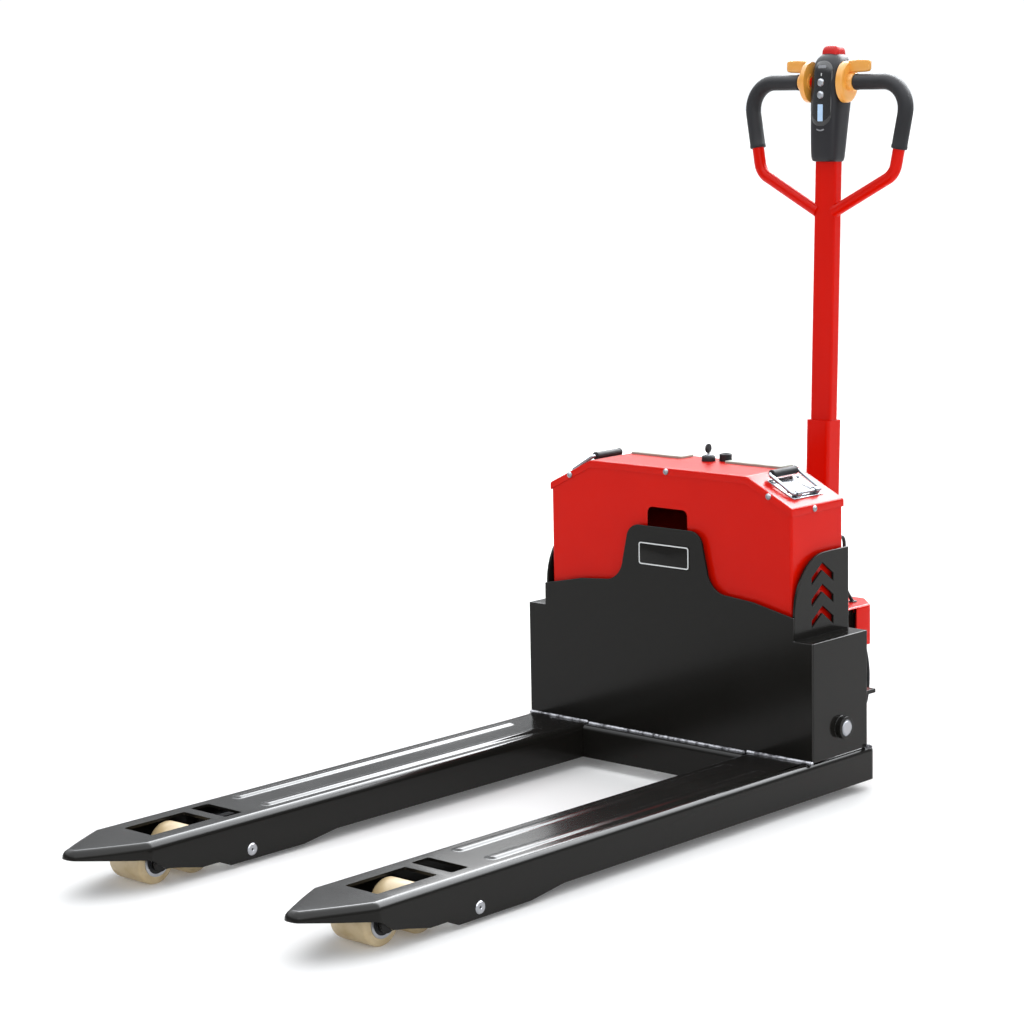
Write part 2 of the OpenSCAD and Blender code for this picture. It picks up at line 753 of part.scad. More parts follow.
module handle_bases() at_face() color(steel) both_sides() on_slope() {
    block([-34, -bail_w / 2 - 4, 0], [34, bail_w / 2 + 4, 2]);
    for (s = [-1, 1]) difference() {
        union() {
            block([bail_hinge - 6, s * 28 - 6, 2 - eps], [bail_hinge + 6, s * 28 + 6, bail_lift]);
            rod_y(s * 28 - 6, s * 28 + 6, bail_hinge, bail_lift, 6);
        }
        rod_y(s * 28 - 7, s * 28 + 7, bail_hinge, bail_lift, bail_r + run_gap);
    }
}

module lid_handle() on_slope() {
    half = bail_w / 2;
    rod_y(-half, half, bail_hinge, bail_lift, bail_r);
    for (s = [-1, 1]) {
        translate([bail_hinge, s * half, bail_lift]) sphere(bail_r);
        translate([bail_hinge - bail_l, s * half, bail_lift + 5]) sphere(bail_r);
        translate([bail_hinge, s * half, bail_lift]) rotate([0, -90 + atan(5 / bail_l), 0])
            cylinder(r = bail_r, h = norm([bail_l, 5]));
    }
    rod_y(-half, half, bail_hinge - bail_l, bail_lift + 5, bail_r);
    rod_y(-half + 5, half - 5, bail_hinge - bail_l, bail_lift + 5, 8);
}

module lid_handle_right() at_face() color(steel) lid_handle();

module lid_handle_left() at_face() color(steel) mirror([1, 0, 0]) lid_handle();

// ---- casters ----

module caster_fork() translate([caster_x, caster_y, 0]) {
    r = caster_d / 2;
    cheek = caster_w / 2 + 2;
    under = caster_plate_z - slide_gap;
    translate([0, 0, under - 10]) cylinder(r = 30, h = 10);
    translate([0, 0, under - eps]) cylinder(r = 8, h = 8 + slide_gap);
    for (s = [-1, 1]) along_x(s > 0 ? cheek : -cheek - 4, s > 0 ? cheek + 4 : -cheek) difference() {
        union() {
            polygon([[-26, under - 10], [20, under - 10], [12 - caster_trail, r], [-12 - caster_trail, r]]);
            translate([-caster_trail, r]) circle(12);
        }
        translate([-caster_trail, r]) circle(6);
    }
    rod_x(-cheek - 4, cheek + 4, -caster_trail, r, 6);
}

module caster_wheel() translate([caster_x, caster_y - caster_trail, caster_d / 2]) rotate([0, 90, 0])
    rotate_extrude() polygon([
        [6 + run_gap, -caster_w / 2 - 1], [14, -caster_w / 2 - 1], [14, -caster_w / 2 + 5],
        [25, -caster_w / 2 + 5], [25, -caster_w / 2], [caster_d / 2 - 3, -caster_w / 2],
        [caster_d / 2, -caster_w / 2 + 4], [caster_d / 2, caster_w / 2 - 4],
        [caster_d / 2 - 3, caster_w / 2], [25, caster_w / 2], [25, caster_w / 2 - 5],
        [14, caster_w / 2 - 5], [14, caster_w / 2 + 1], [6 + run_gap, caster_w / 2 + 1]]);

module caster_fork_right() at_face() color(steel) caster_fork();
module caster_fork_left() at_face() color(steel) mirror([1, 0, 0]) caster_fork();
module caster_wheel_right() at_face() color(nylon) caster_wheel();
module caster_wheel_left() at_face() color(nylon) mirror([1, 0, 0]) caster_wheel();

// ---- steering head ----

module at_steer() at_face() translate([0, steer_y, 0]) children();

module drive_bracket() at_steer() color(black) {
    difference() {
        union() {
            translate([0, 0, head_plate_z]) cylinder(r = 62, h = 12);
            for (s = [-1, 1]) along_x(s > 0 ? cheek_x : -cheek_x - cheek_t, s > 0 ? cheek_x + cheek_t : -cheek_x) {
                polygon([[-36, head_plate_z + eps], [36, head_plate_z + eps], [30, axle_z], [-30, axle_z]]);
                translate([0, axle_z]) circle(30);
            }
            translate([0, 0, head_plate_z + 12 - eps])
                cylinder(r = column_d / 2, h = bearing_high - head_plate_z - 12 + slide_gap + eps);
        }
        rod_x(-100, 100, 0, axle_z, drive_axle_r + run_gap);
    }
}

module drive_motor() at_steer() color(plastic) {
    x0 = -cheek_x - cheek_t;
    rod_x(x0 - 28, x0, 0, axle_z, 60);
    rod_x(x0 - 108, x0 - 28, 0, axle_z, 48);
    for (i = [0:4]) rod_x(x0 - 42 - 14 * i, x0 - 38 - 14 * i, 0, axle_z, 53);
    rod_x(x0 - 116, x0 - 108, 0, axle_z, 30);
}

module hood_plan(inset) {
    w = hood_side - inset;
    b = hood_back - inset;
    c = hood_chamfer;
    polygon([[-w, -40], [w, -40], [w, b - c], [w - c, b], [c - w, b], [-w, b - c]]);
}

module drive_hood() at_steer() color(red) difference() {
    translate([0, 0, hood_skirt]) linear_extrude(hood_top - hood_skirt) hood_plan(0);
    translate([0, 0, hood_skirt - 1]) linear_extrude(hood_top - hood_skirt - 2) hood_plan(3);
    // the skirt runs only round the back, and the column comes through the top
    block([-hood_side - 1, -41, hood_skirt - 1], [hood_side + 1, 22, hood_top - 3]);
    translate([0, 0, hood_top - 10]) cylinder(r = column_d / 2 + 1, h = 20);
    translate([30, 63, hood_top - 10]) cylinder(r = 6, h = 20);
}

module motor_cable() at_steer() color(rubber) {
    cable(cable_route, cable_r);
}

module tiller_yoke() at_steer() color(red) {
    base = bearing_high + slide_gap;
    ear_x = boot_w / 2 + 1.5;
    ear_t = 6;
    translate([0, 0, base]) cylinder(r = 38, h = 14);
    for (s = [-1, 1]) along_x(s > 0 ? ear_x : -ear_x - ear_t, s > 0 ? ear_x + ear_t : -ear_x) difference() {
        union() {
            translate([-18, base + 7]) square([34, tiller_pivot_h - base - 7]);
            translate([-1, tiller_pivot_h]) circle(17);
        }
        translate([0, tiller_pivot_h]) circle(pivot_r);
    }
}

module tiller_pin() at_steer() color(steel)
    rod_x(-boot_w / 2 - 8.5, boot_w / 2 + 8.5, 0, tiller_pivot_h, pivot_r);

module drive_hub() at_steer() color(steel) {
    w = drive_w / 2;
    translate([0, 0, axle_z]) rotate([0, 90, 0]) rotate_extrude() polygon([
        [0, -w - 6], [30, -w - 6], [34, -12], [drive_d / 2 - 25, -w + 1], [drive_d / 2 - 25, w - 1],
        [34, 12], [30, w + 6], [0, w + 6]]);
    rod_x(-cheek_x - cheek_t, cheek_x + cheek_t, 0, axle_z, drive_axle_r);
}

module drive_tyre() at_steer() color(rubber) {
    w = drive_w / 2;
    r = drive_d / 2;
    translate([0, 0, axle_z]) rotate([0, 90, 0]) rotate_extrude() polygon([
        [r - 25, -w], [r - 5, -w], [r, -w + 6], [r, w - 6], [r - 5, w], [r - 25, w]]);
}

// ---- tiller ----

module leaned() at_steer() translate([0, 0, tiller_pivot_h]) rotate([-lean, 0, 0])
    translate([0, 0, -tiller_pivot_h]) children();

module tiller_boot() leaned() color(red) difference() {
    union() {
        post(boot_w, boot_d, tiller_pivot_h, boot_high, 8);
        rod_x(-boot_w / 2, boot_w / 2, 0, tiller_pivot_h, boot_d / 2);
    }
    rod_x(-boot_w, boot_w, 0, tiller_pivot_h, pivot_r + run_gap);
    post(tube_w, tube_d, boot_high - 70, boot_high + 10, 5);
}

module tiller_tube() leaned() color(red) post(tube_w, tube_d, boot_high - 70, head_low + 30, 5);

// points of a round bend of radius r in X and Z, centred on c, from angle a0 to a1
function bend(c, r, a0, a1) = [for (p = arc(c, r, a0, a1, 6)) [p[0], loop_y, p[1]]];

// the handle loop's centre line, from x0 round to the tube
function loop_path(x0) = concat([[x0, loop_y, grip_h]], upper_bend, lower_bend,
    [[loop_end[0], loop_y, loop_end[1]]]);

module handle_loops() leaned() color(red) difference() {
    both_sides() cable(loop_path(loop_in_x), loop_d / 2, 24, [0, 1, 0]);
    post(tube_w, tube_d, head_low - 200, head_low, 5);
}

module handle_grips() leaned() color(rubber) both_sides() difference() {
    cable(concat([[grip_x, loop_y, grip_h]], upper_bend, [[grip_end[0], loop_y, grip_end[1]]]),
        grip_d / 2, 24, [0, 1, 0]);
    cable(loop_path(grip_x - 8), loop_d / 2 + run_gap, 24, [0, 1, 0]);
}

module head_shell() leaned() color(plastic) difference() {
    hull() {
        for (s = [-1, 1]) {
            for (y = [-19, 9]) translate([s * 21, y, head_low + 10]) sphere(r = 10, $fn = 24);
            for (y = [-11, 24]) translate([s * 18, y, grip_h - 4]) sphere(r = 18, $fn = 24);
            translate([s * 14, 2, grip_h + 32]) sphere(r = 20, $fn = 24);
            translate([s * 14, 14, grip_h + 28]) sphere(r = 20, $fn = 24);
        }
    }
    post(tube_w, tube_d, head_low - 20, head_low + 30, 5);
    both_sides() rod_x(loop_in_x, 60, loop_y, grip_h, loop_d / 2);
    block([-panel_w / 2, -60, panel_low], [panel_w / 2, head_front + panel_t, panel_high]);
    for (z = button_z) translate([0, head_front + panel_t - eps, z]) rotate([-90, 0, 0])
        cylinder(r = button_r + button_gap, h = 6);
    belly_pocket();
}

module belly_pocket() translate([0, belly_y, 0])
    post(belly_w + 2 * button_gap, belly_d + 2 * button_gap, belly_z - 12, belly_z + 60, 10 + button_gap);

module belly_button() leaned() color(red) translate([0, belly_y, 0]) intersection() {
    post(belly_w, belly_d, belly_z, belly_z + 33, 10);
    translate([0, 0, belly_z - 8]) rotate([0, 90, 0]) cylinder(r = 40, h = 80, center = true);
}

module display_panel() leaned() color(pale) difference() {
    block([-panel_w / 2, head_front, panel_low], [panel_w / 2, head_front + panel_t, panel_high]);
    for (z = button_z) translate([0, head_front - 1, z]) rotate([-90, 0, 0])
        cylinder(r = button_r + button_gap, h = 10);
}

module push_button(z) translate([0, head_front - 4, z]) rotate([-90, 0, 0]) cylinder(r = button_r, h = 9);

module raise_button() leaned() color(steel) push_button(button_z[0]);

module lower_button() leaned() color(steel) push_button(button_z[1]);

module throttle_wings() leaned() color(amber) both_sides() translate([0, loop_y, grip_h]) difference() {
    union() {
        along_x(hub_x, hub_x + hub_t) {
            translate([-27, -18]) square([54, 36]);
            for (e = [-1, 1]) translate([0, e * 15]) circle(27);
        }
        block([hub_x + 4, -6, 25], [hub_x + 60, 5, 50]);
    }
    rod_x(0, 100, 0, 0, loop_d / 2 + run_gap);
}

// ---- nodes ----

chassis_frame();
power_cover();
cover_lid();
lid_screws();
lid_panels();
key_switch();
charge_socket();
battery_pack();
motor_controller();
power_pack();
lift_cylinder();
rear_housing();
handle_bases();
fork_left();
fork_right();
cross_beam();
front_plate();
side_boxes();
arrow_plates();
weld_beads();
nameplate();
lift_bracket();
lift_rod();
fork_pins();
linkage_cranks();
push_rods();
roller_arms();
bogie_left();
bogie_right();
roller_front_left();
roller_rear_left();
roller_front_right();
roller_rear_right();
drive_bracket();
drive_motor();
drive_hood();
motor_cable();
tiller_yoke();
tiller_pin();
drive_hub();
drive_tyre();
tiller_boot();
tiller_tube();
handle_loops();
handle_grips();
head_shell();
display_panel();
throttle_wings();
belly_button();
raise_button();
lower_button();
ignition_key();
stop_button();
lid_handle_left();
lid_handle_right();
caster_fork_left();
caster_fork_right();
caster_wheel_left();
caster_wheel_right();
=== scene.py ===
import math
import bmesh
import bpy
from mathutils import Matrix, Vector
from mathutils.geometry import tessellate_polygon


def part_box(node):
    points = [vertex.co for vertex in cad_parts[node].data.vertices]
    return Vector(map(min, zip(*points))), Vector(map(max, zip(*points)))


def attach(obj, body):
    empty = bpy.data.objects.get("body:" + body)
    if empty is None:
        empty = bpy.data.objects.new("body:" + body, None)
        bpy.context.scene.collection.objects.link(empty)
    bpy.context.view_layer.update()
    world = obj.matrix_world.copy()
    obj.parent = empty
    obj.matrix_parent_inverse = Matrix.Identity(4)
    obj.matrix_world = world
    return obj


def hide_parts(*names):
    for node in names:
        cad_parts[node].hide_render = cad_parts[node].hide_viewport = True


# Electric pallet truck: the looks of every piece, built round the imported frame.
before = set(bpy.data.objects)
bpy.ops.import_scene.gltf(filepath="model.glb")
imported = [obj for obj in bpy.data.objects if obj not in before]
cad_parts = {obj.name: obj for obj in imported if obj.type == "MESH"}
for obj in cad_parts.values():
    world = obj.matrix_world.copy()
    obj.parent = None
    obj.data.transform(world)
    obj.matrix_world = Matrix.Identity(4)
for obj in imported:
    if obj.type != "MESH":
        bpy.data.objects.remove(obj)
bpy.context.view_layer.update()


# ---- Studio ----
# Not part of the truck. A pale floor under soft panels of light, and a long lens that looks
# down on the truck from its front right.
scene = bpy.context.scene
scene.view_settings.view_transform = "Standard"
turn, down, tip = math.radians(42.73), math.radians(8.98), math.radians(-1.11)
toward_eye = Vector((math.sin(turn) * math.cos(down), -math.cos(turn) * math.cos(down), math.sin(down)))
level_right = Vector((0, 0, 1)).cross(toward_eye).normalized()
level_up = toward_eye.cross(level_right)
eye_right = math.cos(tip) * level_right + math.sin(tip) * level_up
eye_up = math.cos(tip) * level_up - math.sin(tip) * level_right
eye = bpy.data.objects.new("eye", bpy.data.cameras.new("eye"))
eye.data.lens = 98.65
eye.data.clip_end = 200
eye.matrix_world = (Matrix.Translation((3.300, -3.683, 1.337))
                    @ Matrix((eye_right, eye_up, toward_eye)).transposed().to_4x4())
scene.collection.objects.link(eye)
scene.camera = eye

world = bpy.data.worlds.new("studio")
scene.world = world
world.use_nodes = True
sky = world.node_tree.nodes["Background"]
sky.inputs["Color"].default_value = (0.94, 0.97, 1, 1)
seen = world.node_tree.nodes.new("ShaderNodeLightPath")
glow = world.node_tree.nodes.new("ShaderNodeMapRange")
glow.inputs["To Min"].default_value = 0.56
glow.inputs["To Max"].default_value = 1.08
world.node_tree.links.new(seen.outputs["Is Camera Ray"], glow.inputs["Value"])
# reflections see a brighter ceiling, brightest at the far side, which lights the rounded edges
way = world.node_tree.nodes.new("ShaderNodeTexCoord")
split = world.node_tree.nodes.new("ShaderNodeSeparateXYZ")
world.node_tree.links.new(way.outputs["Generated"], split.inputs["Vector"])
lit = seen.outputs["Is Glossy Ray"]
for axis, low, high, dark, bright in (("Z", 0.30, 0.60, 0.0, 1.0), ("Y", 0.40, 0.75, 3.0, 17.0)):
    band = world.node_tree.nodes.new("ShaderNodeMapRange")
    band.interpolation_type = "SMOOTHSTEP"
    for socket, value in (("From Min", low), ("From Max", high), ("To Min", dark), ("To Max", bright)):
        band.inputs[socket].default_value = value
    world.node_tree.links.new(split.outputs[axis], band.inputs["Value"])
    product = world.node_tree.nodes.new("ShaderNodeMath")
    product.operation = "MULTIPLY"
    world.node_tree.links.new(lit, product.inputs[0])
    world.node_tree.links.new(band.outputs["Result"], product.inputs[1])
    lit = product.outputs["Value"]
total = world.node_tree.nodes.new("ShaderNodeMath")
world.node_tree.links.new(lit, total.inputs[0])
world.node_tree.links.new(glow.outputs["Result"], total.inputs[1])
world.node_tree.links.new(total.outputs["Value"], sky.inputs["Strength"])

dome = bpy.data.objects.new("dome", bpy.data.lights.new("dome", "SUN"))
dome.data.angle = math.radians(100)
dome.data.energy = 1.9
dome.rotation_euler = (math.radians(-12), math.radians(6), 0)
scene.collection.objects.link(dome)


def soft_panel(name, place, aim, width, height, power):
    """A rectangular softbox at place, facing the point aim."""
    lamp = bpy.data.lights.new(name, "AREA")
    lamp.shape = "RECTANGLE"
    lamp.size, lamp.size_y, lamp.energy = width, height, power
    box = bpy.data.objects.new(name, lamp)
    way = Vector(aim) - Vector(place)
    box.matrix_world = Matrix.Translation(place) @ way.to_track_quat("-Z", "Y").to_matrix().to_4x4()
    box.visible_camera = False
    scene.collection.objects.link(box)


soft_panel("panel_behind", (-2.4, 5.2, 3.6), (0, 0.3, 0.5), 5.0, 3.0, 190)
soft_panel("panel_front", (4.5, -3.5, 2.6), (0, 0.2, 0.4), 3.0, 2.2, 45)

floor_mesh = bpy.data.meshes.new("studio_floor")
floor_mesh.from_pydata([(-60, -60, 0), (60, -60, 0), (60, 60, 0), (-60, 60, 0)], [], [(0, 1, 2, 3)])
studio_floor = bpy.data.objects.new("studio_floor", floor_mesh)
scene.collection.objects.link(studio_floor)
paper = bpy.data.materials.new("floor_paper")
paper.use_nodes = True
for socket, value in (("Base Color", (0.92, 0.92, 0.92, 1)), ("Roughness", 0.9), ("Specular IOR Level", 0.1),
                      ("Emission Color", (1, 1, 1, 1)), ("Emission Strength", 0.10)):
    paper.node_tree.nodes["Principled BSDF"].inputs[socket].default_value = value
floor_mesh.materials.append(paper)


# ---- Forks ----
# Two forks bent from 5 mm steel plate, with pressed ribs, openings over the load rollers and
# blunt tapered noses, all in black powder paint with a fine orange-peel skin.

class Wire:
    """One output in a material's node tree. + and * on it add Math nodes."""

    def __init__(self, finish, socket):
        self.finish = finish
        self.socket = socket

    def maths(self, operation, first, second):
        return self.finish.node("ShaderNodeMath", {"operation": operation}, {0: first, 1: second})

    def __add__(self, other):
        return self.maths("ADD", self, other)

    def __mul__(self, other):
        return self.maths("MULTIPLY", self, other)

    __radd__ = __add__
    __rmul__ = __mul__

    def clamped(self, low, high):
        """0 at low and under, 1 at high and over."""
        return self.finish.node("ShaderNodeMapRange", {"interpolation_type": "SMOOTHSTEP"},
                                {"Value": self, "From Min": low, "From Max": high})


class Finish:
    """A material with one Principled shader. Constants go on its sockets, and node() adds the rest."""

    def __init__(self, name, **constants):
        self.material = bpy.data.materials.new(name)
        self.material.use_nodes = True
        self.tree = self.material.node_tree
        self.shader = self.tree.nodes["Principled BSDF"]
        for socket, value in constants.items():
            self.shader.inputs[socket.replace("_", " ")].default_value = value
        self.place = self.node("ShaderNodeTexCoord", {}, {}, "Object")

    def node(self, kind, settings, inputs, output=0):
        """Adds a node: its settings first, then the values or links of its sockets."""
        made = self.tree.nodes.new(kind)
        for key, value in settings.items():
            setattr(made, key, value)
        for key, value in inputs.items():
            if isinstance(value, Wire):
                self.tree.links.new(value.socket, made.inputs[key])
            else:
                made.inputs[key].default_value = value
        return Wire(self, made.outputs[output])

    def noise(self, size, detail=3, stretch=(1, 1, 1)):
        """Cloudy noise whose blobs are about size metres across."""
        vector = self.node("ShaderNodeVectorMath", {"operation": "MULTIPLY"}, {0: self.place, 1: stretch})
        return self.node("ShaderNodeTexNoise", {}, {"Vector": vector, "Scale": 1 / size, "Detail": detail})

    def mix(self, share, first, second):
        return self.node("ShaderNodeMix", {"data_type": "RGBA"}, {0: share, 6: first, 7: second}, 2)

    def facing_up(self):
        """1 where the surface looks up, 0 where it doesn't."""
        normal = self.node("ShaderNodeTexCoord", {}, {}, "Normal")
        return self.node("ShaderNodeSeparateXYZ", {}, {0: normal}, 2).clamped(0.5, 0.95)

    def colour(self, wire):
        self.tree.links.new(wire.socket, self.shader.inputs["Base Color"])

    def roughness(self, wire):
        self.tree.links.new(wire.socket, self.shader.inputs["Roughness"])

    def relief(self, height, depth):
        """Bumps of that depth in metres where height goes from 0 to 1."""
        bump = self.node("ShaderNodeBump", {}, {"Height": height, "Distance": depth, "Strength": 1.0})
        self.tree.links.new(bump.socket, self.shader.inputs["Normal"])


def rgb(red, green, blue):
    """A colour given as 0 to 255 values on a screen, in linear light."""
    linear = [v / 255 / 12.92 if v <= 10 else ((v / 255 + 0.055) / 1.055) ** 2.4 for v in (red, green, blue)]
    return (*linear, 1)


def black_powder():
    finish = Finish("black_powder", Coat_Weight=0.03, Coat_Roughness=0.10, Specular_IOR_Level=0.13)
    cloud = finish.noise(0.12)
    finish.colour(finish.mix(finish.facing_up() * cloud, rgb(24, 23, 21), rgb(34, 33, 32)))
    finish.roughness(0.10 + 0.09 * cloud + 0.05 * finish.noise(0.004))
    finish.relief(finish.noise(0.0022, 2), 0.000018)
    return finish.material


black_paint = black_powder()


def skin_out(bm):
    """Turns an open shell's faces outwards, going by its highest face."""
    bmesh.ops.recalc_face_normals(bm, faces=bm.faces)
    highest = max(bm.faces, key=lambda f: (round(f.calc_center_median().z, 4), f.calc_area()))
    if highest.normal.z < 0:
        bmesh.ops.reverse_faces(bm, faces=bm.faces)


def seat(bm, name, *finishes, sharp=35):
    """Turns a bmesh into an object with its materials, smooth but for edges over sharp degrees."""
    mesh = bpy.data.meshes.new(name)
    bm.to_mesh(mesh)
    bm.free()
    mesh.polygons.foreach_set("use_smooth", [True] * len(mesh.polygons))
    mesh.set_sharp_from_angle(angle=math.radians(sharp))
    for finish in finishes:
        mesh.materials.append(finish)
    obj = bpy.data.objects.new(name, mesh)
    scene.collection.objects.link(obj)
    return obj


def settle(obj):
    """Applies every modifier on obj."""
    graph = bpy.context.evaluated_depsgraph_get()
    made = bpy.data.meshes.new_from_object(obj.evaluated_get(graph))
    obj.modifiers.clear()
    obj.data = made
    made.name = obj.name
    return obj


def thicken(obj, wall):
    """Gives an open shell a wall, inwards from its skin."""
    skin = obj.modifiers.new("skin", "SOLIDIFY")
    skin.thickness, skin.offset, skin.use_even_offset = wall, -1, True
    return obj


def ease(obj, radius, angle):
    """Rounds off the edges of obj that turn by more than angle degrees, and keeps its flats flat."""
    bevel = obj.modifiers.new("ease", "BEVEL")
    bevel.width, bevel.segments = radius, 2
    bevel.limit_method, bevel.angle_limit = "ANGLE", math.radians(angle)
    even = obj.modifiers.new("even", "WEIGHTED_NORMAL")
    even.weight = 100
    return settle(obj)


def fit(obj, body, slot, *nodes):
    """Hangs a finished piece on its body, in place of the CAD nodes that it stands for."""
    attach(obj, body)
    if nodes:
        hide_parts(*nodes)
    return obj


def worn(node, made, body, slot, finish, radius, angle=40):
    """Fits a copy of a CAD node with its edges rounded, as cutting, welding and paint leave them."""
    bm = bmesh.new()
    bm.from_mesh(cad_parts[node].data)
    bmesh.ops.remove_doubles(bm, verts=bm.verts, dist=3e-5)
    bmesh.ops.dissolve_limit(bm, angle_limit=math.radians(0.6), verts=bm.verts, edges=bm.edges)
    piece = ease(seat(bm, node + "_" + made, finish, sharp=180), radius, angle)
    return fit(piece, body, slot, node)


def arc(centre, radius, start, end, steps):
    """Points round an arc, from start to end in degrees."""
    turns = [math.radians(start + (end - start) * i / steps) for i in range(steps + 1)]
    return [(centre[0] + radius * math.cos(t), centre[1] + radius * math.sin(t)) for t in turns]


def mark(bm, ring, other, index=0):
    """Joins two closed rows of vertices with a band of faces."""
    for i in range(len(ring)):
        j = (i + 1) % len(ring)
        bm.faces.new((ring[i], ring[j], other[j], other[i])).material_index = index


def loft(bm, rows, index=0):
    """Joins closed rows of vertices into one solid, and closes its two ends."""
    for row, following in zip(rows, rows[1:]):
        mark(bm, row, following, index)
    bm.faces.new(list(reversed(rows[0]))).material_index = index
    bm.faces.new(rows[-1]).material_index = index


def rounded_box(half_w, half_h, corner, steps=5):
    """The outline of a rectangle with round corners, anticlockwise."""
    loop = []
    for sx, sy, start in ((1, 1, 0), (-1, 1, 90), (-1, -1, 180), (1, -1, 270)):
        loop += arc((sx * (half_w - corner), sy * (half_h - corner)), corner, start, start + 90, steps)
    return loop


def shifted(outline, across, up):
    """An outline moved by a distance across and up."""
    return [(u + across, v + up) for u, v in outline]


def pressed_rib(bm, x, y0, y1, top, half_width, height, steps=10):
    """A long bead pressed up out of a plate, with rounded ends that run out into the plate.
    The share of its half width called level stays flat, and the rest falls away."""
    near, far, level = y0 + half_width, y1 - half_width, 0.2
    ring = arc((x, far), half_width, 0, 180, 12) + arc((x, near), half_width, 180, 360, 12)
    spine = [(x, min(max(y, near), far)) for _, y in ring]
    rows = []
    for k in range(steps + 1):
        share = k / steps
        rise = height * 0.5 * (1 + math.cos(math.pi * max(0, share - level) / (1 - level)))
        rows.append([bm.verts.new((s[0] + (r[0] - s[0]) * share, s[1] + (r[1] - s[1]) * share, top + rise))
                     for r, s in zip(ring, spine)])
    for inner, outer in zip(rows, rows[1:]):
        mark(bm, outer, inner)


def fork_mesh(side, node):
    """A fork's shell: a rounded top edge, walls that follow the nose and the roller, and real openings."""
    low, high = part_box(node)
    centre = (low.x + high.x) / 2
    half = (high.x - low.x) / 2
    tip, tail = low.y, high.y
    rib_height, plate = 0.003, 0.005
    top = high.z - rib_height
    nose, nose_depth, nose_root, floor_gap, edge = 0.112, 0.015, 0.028, 0.020, 0.014
    tip_half, tip_round, corner, flank_angle, swell = 0.020, 0.017, 0.014, -30, 0.12
    bogie_y = tip + 0.202
    pin_y = bogie_y + 0.140
    nose_end = tip + nose
    arch_start, arch_mid, arch_end = bogie_y - 0.054, bogie_y - 0.024, bogie_y + 0.026
    keel_start, keel_full, keel_back, keel_end = pin_y - 0.075, pin_y - 0.050, pin_y + 0.120, pin_y + 0.200
    arch_high, arch_low, keel_z = 0.036, 0.031, 0.009

    def lower_edge(y):
        """Height of the wall's lower edge at a distance y along the fork."""
        marks = [(tip, top - nose_depth), (nose_end, top - nose_root),
                 (bogie_y - 0.076, top - nose_root - 0.004), (arch_start, arch_high), (arch_mid, arch_low),
                 (arch_end, floor_gap), (keel_start, floor_gap), (keel_full, keel_z), (keel_back, keel_z),
                 (keel_end, floor_gap), (tail, floor_gap)]
        for (y0, z0), (y1, z1) in zip(marks, marks[1:]):
            if y <= y1:
                return z0 + (z1 - z0) * max(0, y - y0) / (y1 - y0)
        return marks[-1][1]

    wall_y = [nose_end + 0.012, bogie_y - 0.065, arch_start, (arch_start + arch_mid) / 2, arch_mid, bogie_y,
              arch_end, keel_start, keel_full, keel_back, keel_end, tail - 0.3, tail - corner]
    tip_arc = arc((tip_half - tip_round, tip + tip_round), tip_round, -90, flank_angle, 6)
    start, shoulder = tip_arc[-1], (half, nose_end + 0.006)
    run, climb = shoulder[0] - start[0], shoulder[1] - start[1]
    flank = [(start[0] + run * (t + swell * t * (1 - t)), start[1] + climb * t)
             for t in (0.15, 0.3, 0.45, 0.6, 0.75, 0.86, 0.94, 1.0)]
    right = tip_arc + flank
    right += [(half, y) for y in wall_y] + arc((half - corner, tail - corner), corner, 0, 90, 4)[1:]
    outline = right + [(-x, y) for x, y in reversed(right)]

    bm = bmesh.new()
    count = len(outline)
    normals = []
    for i in range(count):
        ahead, behind = outline[(i + 1) % count], outline[i - 1]
        way = Vector((ahead[0] - behind[0], ahead[1] - behind[1])).normalized()
        normals.append(Vector((way.y, -way.x)))
    columns, edge_steps, wall_steps = [], 6, 4
    for (x, y), normal in zip(outline, normals):
        column = []
        for k in range(edge_steps + 1):
            t = math.radians(90 * k / edge_steps)
            back = edge * (1 - math.sin(t))
            column.append((x - normal.x * back, y - normal.y * back, top - edge * (1 - math.cos(t))))
        foot = lower_edge(y)
        start = top - edge
        for k in range(1, wall_steps + 1):
            column.append((x, y, start + (foot - start) * k / wall_steps))
        columns.append([bm.verts.new((centre + cx, cy, cz)) for cx, cy, cz in column])
    for i in range(count):
        j = (i + 1) % count
        for a, b, c, d in zip(columns[i], columns[i][1:], columns[j][1:], columns[j]):
            bm.faces.new((a, b, c, d))
    rings = [[column[0] for column in columns]]

    rod_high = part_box("push_rods")[1]
    rod_x = rod_high.x - 0.004 - abs(centre)
    # rounded openings over the rollers, over the arm's hinge and over the end of the push rod
    for shift, y0, y1, width, turn_r in (
            (0, bogie_y - 0.049, bogie_y + 0.085, 0.072, 0.004),
            (0, pin_y - 0.033, pin_y + 0.007, 0.090, 0.004),
            (side * rod_x, rod_high.y - 0.035, rod_high.y + 0.003, 0.016, 0.002)):
        hole = shifted(rounded_box(width / 2, (y1 - y0) / 2, turn_r, 4), shift, (y0 + y1) / 2)
        rings.append([bm.verts.new((centre + x, y, top)) for x, y in hole])
    flat = [v for ring in rings for v in ring]
    for triangle in tessellate_polygon([[v.co for v in ring] for ring in rings]):
        bm.faces.new([flat[k] for k in triangle])
    skin_out(bm)
    shell = seat(bm, "fork_shell", black_paint, sharp=180)
    ease(thicken(shell, plate), 0.0008, 50)

    bm = bmesh.new()
    bm.from_mesh(shell.data)
    bpy.data.objects.remove(shell)
    rib_x, rib_half, clear = 0.037, 0.0145, 0.0001
    for x in (-rib_x, rib_x):
        pressed_rib(bm, centre + x, pin_y + 0.057, tail - 0.293, top + clear, rib_half, rib_height - clear)
